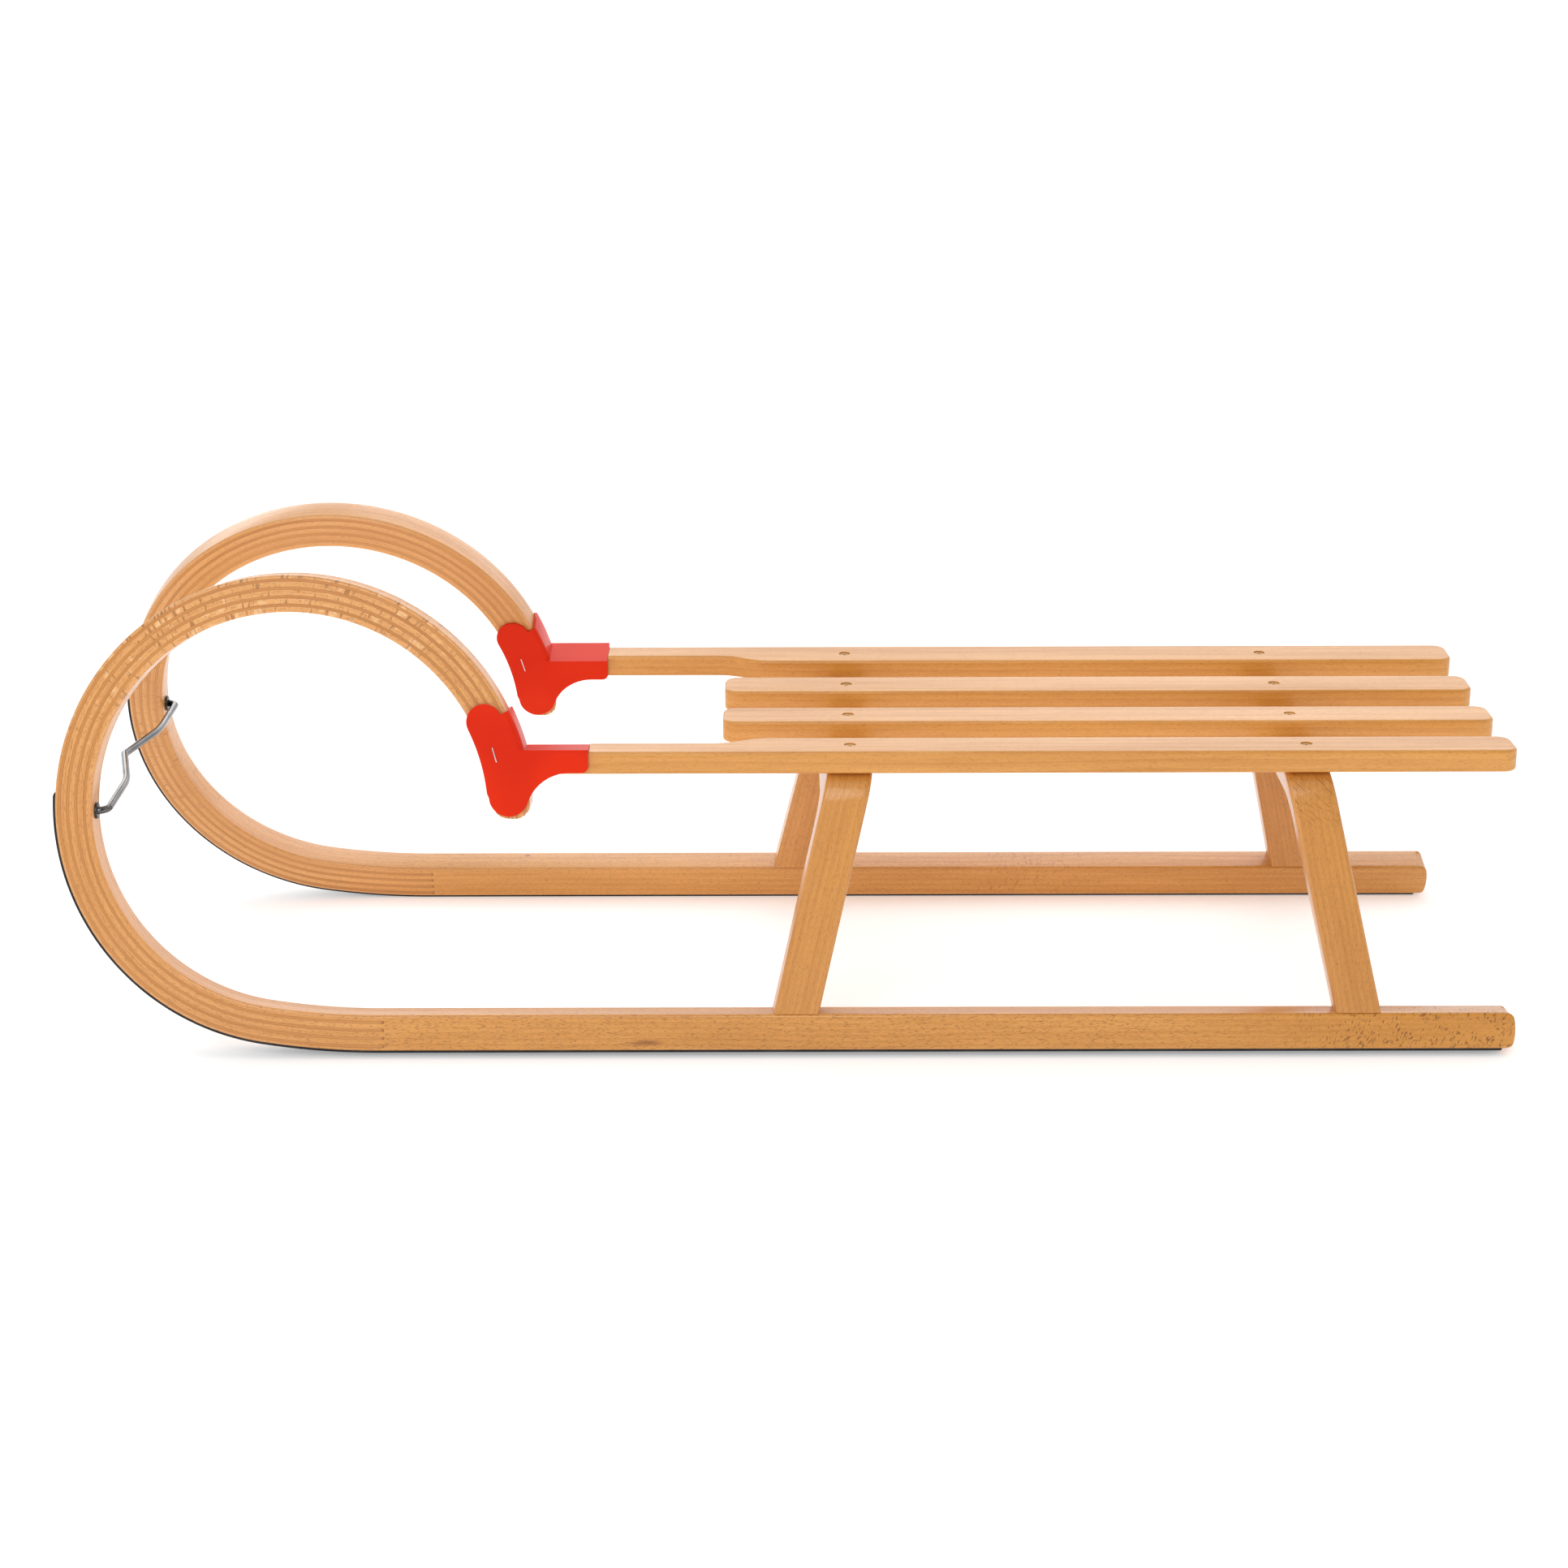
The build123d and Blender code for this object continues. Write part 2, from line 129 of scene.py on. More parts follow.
@dataclass(frozen=True)
class BarShape:
    """Bent bar of one runner and its horn, in metres, drawn in the plane of the runner's outer face."""

    width: float = 0.029
    height: float = 0.029
    straight: float = 0.898
    lead_radius: float = 0.580
    lead_sweep: float = math.radians(9.0)
    loop_radius: float = 0.1715
    tip_heading: float = math.radians(271.8)
    half_track: float = 0.190
    cant: float = math.radians(10.8)
    shoe_width: float = 0.0245
    shoe_thickness: float = 0.002
    kerf_start: float = 0.894
    outer_lamina: float = 0.0026
    lamina: float = 0.0041
    veneer: float = 0.0024

    @property
    def half_height(self) -> float:
        """Distance from the middle line to the running face."""
        return self.height / 2

    @property
    def first_veneer(self) -> float:
        """Offset of the convex side of the first veneer."""
        return -self.half_height + self.outer_lamina

    @property
    def lamina_pitch(self) -> float:
        """Distance from one veneer to the next."""
        return self.lamina + self.veneer

    @property
    def lead_centre(self) -> Vector:
        """Centre of the slack bend before the loop."""
        return Vector((self.straight, self.half_height + self.lead_radius))

    @property
    def loop_centre(self) -> Vector:
        """Centre of the horn's loop."""
        return self.lead_centre + outward_at(self.lead_sweep) * (self.lead_radius - self.loop_radius)

    @property
    def middle_x(self) -> float:
        """Half of the overall length."""
        return (self.loop_centre.x + self.loop_radius + self.half_height + self.shoe_thickness) / 2

    @property
    def base_z(self) -> float:
        """Height of the outer face's lower edge above the ground."""
        edge = (self.width + self.shoe_width) / 2
        return self.shoe_thickness * math.cos(self.cant) + edge * math.sin(self.cant)

    @property
    def length(self) -> float:
        """Length of the middle line from the rear end to the horn's tip."""
        return self.along_at(self.tip_heading)

    def along_at(self, heading: float) -> float:
        """Distance along the middle line to a heading on the loop, in radians from level."""
        lead = self.lead_radius * self.lead_sweep
        return self.straight + lead + self.loop_radius * (heading - self.lead_sweep)

    def flat(self, along: float, offset: float) -> Vector:
        """Point in the plane of the bar.

        Args:
            along: distance along the middle line from the rear end.
            offset: distance from the middle line, towards the loop's centre.

        Returns:
            Point (x forward from the rear end, s up the outer face).
        """
        if along <= self.straight:
            return Vector((along, self.half_height + offset))
        lead = (along - self.straight) / self.lead_radius
        if lead <= self.lead_sweep:
            return self.lead_centre + outward_at(lead) * (self.lead_radius - offset)
        heading = self.lead_sweep + (lead - self.lead_sweep) * self.lead_radius / self.loop_radius
        return self.loop_centre + outward_at(heading) * (self.loop_radius - offset)

    def place(self, flat: Vector, depth: float, side: Side) -> Vector:
        """Point of the sled from a point in the plane of the bar.

        Args:
            flat: point (x, s) in the plane of the outer face.
            depth: distance behind the outer face.
            side: half of the sled.

        Returns:
            Point in the sled's frame.
        """
        sine, cosine = math.sin(self.cant), math.cos(self.cant)
        y = self.half_track - flat.y * sine - depth * cosine
        z = self.base_z + flat.y * cosine - depth * sine
        return Vector((flat.x - self.middle_x, side.value * y, z))

    def point(self, along: float, offset: float, depth: float, side: Side) -> Vector:
        """Point of the bar in the sled's frame."""
        return self.place(self.flat(along, offset), depth, side)


BAR = BarShape()


class Graph:
    """Adds and links the nodes of one shader tree."""

    def __init__(self, tree: bpy.types.NodeTree) -> None:
        """Work on a tree."""
        self.tree = tree

    def feed(self, node: bpy.types.Node, feeds: Mapping[Union[int, str], Value]) -> None:
        """Link sockets into a node, or set plain values on it.

        Args:
            node: node that takes them.
            feeds: what goes in, by the name or number of the input.
        """
        for name, value in feeds.items():
            if isinstance(value, Socket):
                self.tree.links.new(value, node.inputs[name])
            else:
                node.inputs[name].default_value = value

    def add(self, kind: str, feeds: Mapping[Union[int, str], Value], **settings: object) -> bpy.types.Node:
        """Add a node.

        Args:
            kind: type of the node.
            feeds: what goes into its inputs.
            settings: its properties, set before the inputs.

        Returns:
            The node.
        """
        node = self.tree.nodes.new(kind)
        for name, value in settings.items():
            setattr(node, name, value)
        self.feed(node, feeds)
        return node

    def math(self, operation: str, *values: Value) -> Socket:
        """Result of a Math node."""
        return self.add("ShaderNodeMath", dict(enumerate(values)), operation=operation).outputs[0]

    def vector(self, operation: str, *values: Value) -> bpy.types.Node:
        """Vector Math node with its inputs fed."""
        return self.add("ShaderNodeVectorMath", dict(enumerate(values)), operation=operation)

    def split(self, vector: Value) -> tuple[Socket, Socket, Socket]:
        """The three numbers of a vector."""
        return tuple(self.add("ShaderNodeSeparateXYZ", {"Vector": vector}).outputs)

    def noise(self, vector: Value, detail: Value = 2.0, seed: Value = 0.0) -> Socket:
        """Noise from 0 to 1 at one cell per unit of the vector."""
        feeds = {"Vector": vector, "W": seed, "Scale": 1.0, "Detail": detail}
        return self.add("ShaderNodeTexNoise", feeds, noise_dimensions="4D").outputs[0]

    def cells(self, vector: Value, count: Value, detail: Value = 2.0, seed: Value = 0.0) -> Socket:
        """Noise with a count of cells per metre along each axis."""
        return self.noise(self.vector("MULTIPLY", vector, count).outputs[0], detail, seed)

    def swing(self, value: Value, reach: Value) -> Socket:
        """Value from 0 to 1 made into a swing to both sides of 0."""
        return self.math("MULTIPLY", self.math("SUBTRACT", value, 0.5), reach)

    def window(self, value: Value, low: Value, high: Value) -> Socket:
        """Smooth step from 0 at low to 1 at high."""
        feeds = {"Value": value, "From Min": low, "From Max": high}
        return self.add("ShaderNodeMapRange", feeds, interpolation_type="SMOOTHSTEP").outputs[0]

    def span(self, value: Value, low: float, high: float) -> Socket:
        """Value from 0 to 1 spread over a range."""
        return self.add("ShaderNodeMapRange", {"Value": value, "To Min": low, "To Max": high}).outputs[0]

    def mix(self, factor: Value, first: Value, second: Value) -> Socket:
        """Mix of two colours."""
        feeds = {MIX_FACTOR: factor, MIX_FIRST: first, MIX_SECOND: second}
        return self.add("ShaderNodeMix", feeds, data_type="RGBA").outputs[MIX_RESULT]

    def bump(self, height: Value, strength: float, distance: float) -> Socket:
        """Normal of a Bump node."""
        feeds = {"Height": height, "Strength": strength, "Distance": distance}
        return self.add("ShaderNodeBump", feeds).outputs[0]

    def where(self) -> Socket:
        """Place on the object, in metres."""
        return self.add("ShaderNodeTexCoord", {}).outputs["Object"]


class EffectGroup:
    """Base of the shared shader node groups: each is built once, on first use."""

    NAME: str = ""
    VECTORS: tuple[str, ...] = ()
    FLOATS: tuple[str, ...] = ()
    OUTPUTS: tuple[str, ...] = ()

    @classmethod
    def tree(cls) -> bpy.types.NodeTree:
        """The group's node tree.

        Returns:
            Tree with its sockets made and its nodes wired.
        """
        known = bpy.data.node_groups.get(cls.NAME)
        if known:
            return known
        tree = bpy.data.node_groups.new(cls.NAME, "ShaderNodeTree")
        for name in cls.VECTORS:
            tree.interface.new_socket(name=name, in_out="INPUT", socket_type="NodeSocketVector")
        for name in cls.FLOATS:
            tree.interface.new_socket(name=name, in_out="INPUT", socket_type="NodeSocketFloat")
        for name in cls.OUTPUTS:
            tree.interface.new_socket(name=name, in_out="OUTPUT", socket_type="NodeSocketFloat")
        graph = Graph(tree)
        given = graph.add("NodeGroupInput", {}).outputs
        graph.add("NodeGroupOutput", cls.wire(graph, given))
        return tree

    @classmethod
    def wire(cls, graph: Graph, given: bpy.types.NodeOutputs) -> dict[str, Socket]:
        """Wire the group from its inputs to its outputs by name."""
        raise NotImplementedError

    @classmethod
    def use(cls, graph: Graph, **values: Value) -> bpy.types.NodeOutputs:
        """Place the group in a tree.

        Args:
            graph: tree that uses it.
            values: inputs by name, with _ for a space.

        Returns:
            Outputs of the placed group.
        """
        feeds = {name.replace("_", " "): value for name, value in values.items()}
        return graph.add("ShaderNodeGroup", feeds, node_tree=cls.tree()).outputs


class BeechGrain(EffectGroup):
    """Beech figure along a grain vector in metres: growth rings, streaks and short pore dashes."""

    NAME = "beech_grain"
    VECTORS = ("Grain",)
    FLOATS = ("Seed", "Ring Spacing", "Pith Across", "Pith Depth")
    OUTPUTS = ("Tone", "Pores", "Height")
    WANDER_CELLS = (3.0, 9.0, 9.0)
    WANDER_REACH = 0.016
    RING_POWER = 2.5
    RING_SHARE = 0.14
    STREAK_CELLS = (11.0, 230.0, 230.0)
    STREAK_DETAIL = 3.0
    STREAK_SHARE = 0.4
    FIBRE_CELLS = (55.0, 1400.0, 1400.0)
    FIBRE_SHARE = 0.26
    FIBRE_HEIGHT = 0.35
    BROAD_CELLS = (2.6, 30.0, 30.0)
    BROAD_SHARE = 0.55
    TONE_WINDOW = (0.34, 1.0)
    PORE_CELLS = (330.0, 1900.0, 1900.0)
    PORE_DETAIL = 1.0
    PORE_WINDOW = (0.54, 0.7)

    @classmethod
    def wire(cls, graph: Graph, given: bpy.types.NodeOutputs) -> dict[str, Socket]:
        """Wire rings, streaks and pores.

        Args:
            graph: tree of the group.
            given: inputs of the group.

        Returns:
            Tone of the wood, mask of its pores, and height of its skin.
        """
        grain, seed = given["Grain"], given["Seed"]
        _, y, z = graph.split(grain)
        wander = graph.swing(graph.cells(grain, cls.WANDER_CELLS, seed=seed), cls.WANDER_REACH)
        across = graph.math("ADD", graph.math("ADD", y, given["Pith Across"]), wander)
        depth = graph.math("ADD", z, given["Pith Depth"])
        square = graph.math("MULTIPLY_ADD", depth, depth, graph.math("MULTIPLY", across, across))
        ring = graph.math("FRACT", graph.math("DIVIDE", graph.math("SQRT", square), given["Ring Spacing"]))
        streak = graph.cells(grain, cls.STREAK_CELLS, cls.STREAK_DETAIL, seed)
        fibre = graph.cells(grain, cls.FIBRE_CELLS, seed=seed)
        broad = graph.cells(grain, cls.BROAD_CELLS, seed=seed)
        tone = graph.math("MULTIPLY", graph.math("POWER", ring, cls.RING_POWER), cls.RING_SHARE)
        layers = ((streak, cls.STREAK_SHARE), (fibre, cls.FIBRE_SHARE), (broad, cls.BROAD_SHARE))
        for layer, share in layers:
            tone = graph.math("MULTIPLY_ADD", layer, share, tone)
        pores = graph.window(graph.cells(grain, cls.PORE_CELLS, cls.PORE_DETAIL, seed), *cls.PORE_WINDOW)
        sunk = graph.math("MULTIPLY", pores, -1.0)
        height = graph.math("MULTIPLY_ADD", fibre, cls.FIBRE_HEIGHT, sunk)
        return {"Tone": graph.window(tone, *cls.TONE_WINDOW), "Pores": pores, "Height": height}


class BarStretch(EffectGroup):
    """Soft window along a bar between two places."""

    NAME = "bar_stretch"
    VECTORS = ("Grain",)
    FLOATS = ("From", "To", "Fade")
    OUTPUTS = ("Mask",)

    @classmethod
    def wire(cls, graph: Graph, given: bpy.types.NodeOutputs) -> dict[str, Socket]:
        """Wire the window's two ends.

        Args:
            graph: tree of the group.
            given: inputs of the group.

        Returns:
            Mask that is 1 between the ends.
        """
        along = graph.split(given["Grain"])[0]
        ends = []
        for name in ("From", "To"):
            low = graph.math("SUBTRACT", given[name], given["Fade"])
            high = graph.math("ADD", given[name], given["Fade"])
            ends.append(graph.window(along, low, high))
        return {"Mask": graph.math("SUBTRACT", *ends)}


class LaminaShade(EffectGroup):
    """Shade from -0.5 to 0.5 that wanders along each lamina by itself, 0 before the kerfs begin."""

    NAME = "lamina_shade"
    VECTORS = ("Grain",)
    FLOATS = ("Seed", "First Lamina", "Lamina Pitch", "Kerf Start")
    OUTPUTS = ("Shade", "Lamina Seed")
    SEED_STEP = 5.3
    DRIFT_CELLS = (4.5, 0.0, 0.0)

    @classmethod
    def wire(cls, graph: Graph, given: bpy.types.NodeOutputs) -> dict[str, Socket]:
        """Wire the number of the lamina and its shade.

        Args:
            graph: tree of the group.
            given: inputs of the group.

        Returns:
            Shade of the lamina, and a seed of its own.
        """
        along, offset, _ = graph.split(given["Grain"])
        depth = graph.math("SUBTRACT", offset, given["First Lamina"])
        lamina = graph.math("FLOOR", graph.math("DIVIDE", depth, given["Lamina Pitch"]))
        seed = graph.math("MULTIPLY_ADD", lamina, cls.SEED_STEP, given["Seed"])
        drift = graph.cells(given["Grain"], cls.DRIFT_CELLS, seed=seed)
        sawn = graph.math("GREATER_THAN", along, given["Kerf Start"])
        return {"Shade": graph.swing(drift, sawn), "Lamina Seed": seed}


class RayFlecks(EffectGroup):
    """Slanted ray flecks in patches."""

    NAME = "ray_flecks"
    VECTORS = ("Grain",)
    FLOATS = ("Seed", "Cells Along", "Cells Across", "Slant")
    OUTPUTS = ("Mask",)
    FLECK_WINDOW = (0.56, 0.65)
    PATCH_CELLS = (55.0, 80.0, 40.0)
    PATCH_WINDOW = (0.36, 0.52)
    DETAIL = 1.0

    @classmethod
    def wire(cls, graph: Graph, given: bpy.types.NodeOutputs) -> dict[str, Socket]:
        """Wire the flecks and their patches.

        Args:
            graph: tree of the group.
            given: inputs of the group.

        Returns:
            Mask of the flecks.
        """
        grain, seed = given["Grain"], given["Seed"]
        x, y, z = graph.split(grain)
        slanted = graph.math("MULTIPLY_ADD", y, given["Slant"], x)
        along = graph.math("MULTIPLY", slanted, given["Cells Along"])
        across, depth = (graph.math("MULTIPLY", number, given["Cells Across"]) for number in (y, z))
        cell = graph.add("ShaderNodeCombineXYZ", {"X": along, "Y": across, "Z": depth}).outputs[0]
        flecks = graph.window(graph.noise(cell, cls.DETAIL, seed), *cls.FLECK_WINDOW)
        patches = graph.window(graph.cells(grain, cls.PATCH_CELLS, cls.DETAIL, seed), *cls.PATCH_WINDOW)
        return {"Mask": graph.math("MULTIPLY", flecks, patches)}


class DarkPatch(EffectGroup):
    """One dark mark in the wood: a soft lens round a centre."""

    NAME = "dark_patch"
    VECTORS = ("Grain", "Centre", "Reach")
    OUTPUTS = ("Mask",)
    RAGGED_CELLS = (120.0, 900.0, 900.0)
    RAGGED_REACH = 0.9
    EDGE_WINDOW = (0.15, 1.0)

    @classmethod
    def wire(cls, graph: Graph, given: bpy.types.NodeOutputs) -> dict[str, Socket]:
        """Wire the lens and its ragged edge.

        Args:
            graph: tree of the group.
            given: inputs of the group.

        Returns:
            Mask of the mark.
        """
        away = graph.vector("SUBTRACT", given["Grain"], given["Centre"]).outputs[0]
        away = graph.vector("DIVIDE", away, given["Reach"]).outputs[0]
        ragged = graph.swing(graph.cells(given["Grain"], cls.RAGGED_CELLS), cls.RAGGED_REACH)
        span = graph.math("ADD", graph.vector("LENGTH", away).outputs["Value"], ragged)
        return {"Mask": graph.math("SUBTRACT", 1.0, graph.window(span, *cls.EDGE_WINDOW))}


class SoftClouds(EffectGroup):
    """Noise over the places of a surface, plain and as a mask of soft clouds."""

    NAME = "soft_clouds"
    VECTORS = ("Where", "Cells")
    FLOATS = ("Detail",)
    OUTPUTS = ("Noise", "Mask")
    MASK_WINDOW = (0.35, 0.7)

    @classmethod
    def wire(cls, graph: Graph, given: bpy.types.NodeOutputs) -> dict[str, Socket]:
        """Wire the noise and its mask.

        Args:
            graph: tree of the group.
            given: inputs of the group.

        Returns:
            The noise, and the mask of its clouds.
        """
        noise = graph.cells(given["Where"], given["Cells"], given["Detail"])
        return {"Noise": noise, "Mask": graph.window(noise, *cls.MASK_WINDOW)}


def bare_material(name: str) -> tuple[bpy.types.Material, Graph, bpy.types.Node]:
    """New material with a Principled shader on its output.

    Args:
        name: name of the material.

    Returns:
        The material, a graph on its tree, and the shader.
    """
    made = bpy.data.materials.new(name)
    made.use_nodes = True
    made.node_tree.nodes.clear()
    graph = Graph(made.node_tree)
    shader = graph.add("ShaderNodeBsdfPrincipled", {})
    graph.add("ShaderNodeOutputMaterial", {"Surface": shader.outputs[0]})
    return made, graph, shader


@dataclass(frozen=True)
class Mark:
    """Dark mark in a piece of wood: its centre and reach along, across and into the grain."""

    centre: Triple
    reach: Triple


@dataclass(frozen=True)
class Stretch:
    """Stretch of a bar between two places, which fades in and out at its ends."""

    start: float
    stop: float
    fade: float

    def share(self, graph: Graph, grain: Value) -> Socket:
        """Mask of the stretch along a grain vector."""
        return BarStretch.use(graph, Grain=grain, From=self.start, To=self.stop, Fade=self.fade)["Mask"]


@dataclass(frozen=True)
class Flecks:
    """Ray flecks on a stretch: cells per metre along and across, slant, strength and colour."""

    stretch: Stretch
    cells: tuple[float, float]
    slant: float
    amount: float
    colour: Colour = (0.24, 0.075, 0.006, 1.0)

    def mask(self, graph: Graph, grain: Value, seed: Value) -> Socket:
        """Mask of the flecks.

        Args:
            graph: tree of the finish.
            grain: grain vector.
            seed: seed of the lamina.

        Returns:
            Share of the flecks' colour.
        """
        share = self.stretch.share(graph, grain)
        along, across = self.cells
        flecks = RayFlecks.use(
            graph, Grain=grain, Seed=seed, Cells_Along=along, Cells_Across=across, Slant=self.slant
        )
        return graph.math("MULTIPLY", graph.math("MULTIPLY", share, flecks["Mask"]), self.amount)


@dataclass(frozen=True)
class Tint:
    """Wood of another tone on a stretch: its pale and deep colour and its share of pores."""

    stretch: Stretch
    pale: Colour
    deep: Colour
    pores: float


@dataclass(frozen=True)
class BeechFinish:
    """Clear lacquered beech with its figure along the grain attribute."""

    name: str
    pale: Colour = (0.745, 0.352, 0.082, 1.0)
    deep: Colour = (0.525, 0.207, 0.028, 1.0)
    pore: Colour = (0.24, 0.075, 0.008, 1.0)
    seed: float = 0.0
    ring_spacing: float = 0.0042
    pith: tuple[float, float] = (0.062, 0.024)
    pore_amount: float = 0.75
    flecks: tuple[Flecks, ...] = ()
    first_lamina: float = BAR.first_veneer + BAR.veneer / 2
    lamina_contrast: float = 0.0
    tints: tuple[Tint, ...] = ()
    marks: tuple[Mark, ...] = ()
    mark_amount: float = 0.8
    glued: bool = False
    glue_amount: float = 0.42
    glue_edge: tuple[float, float] = (0.00015, 0.0005)
    roughness: tuple[float, float] = (0.26, 0.4)
    coat: float = 0.3
    coat_roughness: float = 0.22
    relief: float = 0.35
    relief_depth: float = 0.00012

    def glue_lines(self, graph: Graph, grain: Value) -> Socket:
        """Thin dark lines along both faces of a glued veneer.

        Args:
            graph: tree of the finish.
            grain: grain vector, whose second number is the offset from the bar's middle line.

        Returns:
            Mask of the lines.
        """
        offset = graph.math("SUBTRACT", graph.split(grain)[1], BAR.first_veneer)
        turn = graph.math("FRACT", graph.math("DIVIDE", offset, BAR.lamina_pitch))
        inside = graph.math("MULTIPLY", turn, BAR.lamina_pitch)
        edge = graph.math("MINIMUM", inside, graph.math("SUBTRACT", BAR.veneer, inside))
        return graph.math("SUBTRACT", 1.0, graph.window(edge, *self.glue_edge))

    def material(self) -> bpy.types.Material:
        """Build the finish.

        Returns:
            Material that reads the grain attribute.
        """
        made, graph, shader = bare_material(self.name)
        grain = graph.add("ShaderNodeAttribute", {}, attribute_name=GRAIN).outputs["Vector"]
        figure = BeechGrain.use(
            graph,
            Grain=grain,
            Seed=self.seed,
            Ring_Spacing=self.ring_spacing,
            Pith_Across=self.pith[0],
            Pith_Depth=self.pith[1],
        )
        laminae = LaminaShade.use(
            graph,
            Grain=grain,
            Seed=self.seed,
            First_Lamina=self.first_lamina,
            Lamina_Pitch=BAR.lamina_pitch,
            Kerf_Start=BAR.kerf_start,
        )
        tone = graph.math("MULTIPLY_ADD", laminae["Shade"], self.lamina_contrast, figure["Tone"])
        colour = graph.mix(tone, self.pale, self.deep)
        pores = graph.math("MULTIPLY", figure["Pores"], self.pore_amount)
        for tint in self.tints:
            share = tint.stretch.share(graph, grain)
            colour = graph.mix(share, colour, graph.mix(tone, tint.pale, tint.deep))
            pores = graph.math("MULTIPLY", pores, graph.span(share, 1.0, tint.pores))
        for flecks in self.flecks:
            colour = graph.mix(flecks.mask(graph, grain, laminae["Lamina Seed"]), colour, flecks.colour)
        darkening = [pores]
        for mark in self.marks:
            patch = DarkPatch.use(graph, Grain=grain, Centre=mark.centre, Reach=mark.reach)["Mask"]
            darkening.append(graph.math("MULTIPLY", patch, self.mark_amount))
        if self.glued:
            darkening.append(graph.math("MULTIPLY", self.glue_lines(graph, grain), self.glue_amount))
        for mask in darkening:
            colour = graph.mix(mask, colour, self.pore)
        graph.feed(shader, {
            "Base Color": colour,
            "Roughness": graph.span(figure["Tone"], *self.roughness),
            "Normal": graph.bump(figure["Height"], self.relief, self.relief_depth),
            "Coat Weight": self.coat,
            "Coat Roughness": self.coat_roughness,
        })
        return made


@dataclass(frozen=True)
class PlasticFinish:
    """Satin moulded plastic with a faint spark-eroded skin."""

    name: str
    colour: Colour
    shade: Colour
    cloud_cells: Triple = (22.0, 22.0, 22.0)
    cloud_detail: float = 0.0
    skin_cells: Triple = (2600.0, 2600.0, 2600.0)
    skin_detail: float = 1.0
    roughness: tuple[float, float] = (0.26, 0.38)
    specular: float = 0.1
    coat: float = 0.1
    coat_roughness: float = 0.3
    relief: float = 0.12
    relief_depth: float = 0.00008

    def material(self) -> bpy.types.Material:
        """Build the finish.

        Returns:
            Material that reads the place on the object.
        """
        made, graph, shader = bare_material(self.name)
        where = graph.where()
        clouds = SoftClouds.use(graph, Where=where, Cells=self.cloud_cells, Detail=self.cloud_detail)
        skin = SoftClouds.use(graph, Where=where, Cells=self.skin_cells, Detail=self.skin_detail)
        graph.feed(shader, {
            "Base Color": graph.mix(clouds["Mask"], self.colour, self.shade),
            "Roughness": graph.span(clouds["Noise"], *self.roughness),
            "Normal": graph.bump(skin["Noise"], self.relief, self.relief_depth),
            "Specular IOR Level": self.specular,
            "Coat Weight": self.coat,
            "Coat Roughness": self.coat_roughness,
        })
        return made


@dataclass(frozen=True)
class MetalFinish:
    """Drawn, rolled or plated metal with fine lines along one axis."""

    name: str
    colour: Colour
    shade: Colour
    metallic: float
    roughness: tuple[float, float]
    line_cells: Triple
    line_detail: float = 2.0
    cloud_cells: Triple = (45.0, 45.0, 45.0)
    cloud_detail: float = 3.0
    relief: float = 0.15
    relief_depth: float = 0.00004

    def material(self) -> bpy.types.Material:
        """Build the finish.

        Returns:
            Material that reads the place on the object.
        """
        made, graph, shader = bare_material(self.name)
        where = graph.where()
        lines = SoftClouds.use(graph, Where=where, Cells=self.line_cells, Detail=self.line_detail)
        clouds = SoftClouds.use(graph, Where=where, Cells=self.cloud_cells, Detail=self.cloud_detail)
        graph.feed(shader, {
            "Base Color": graph.mix(clouds["Mask"], self.colour, self.shade),
            "Roughness": graph.span(lines["Noise"], *self.roughness),
            "Normal": graph.bump(lines["Noise"], self.relief, self.relief_depth),
            "Metallic": self.metallic,
        })
        return made


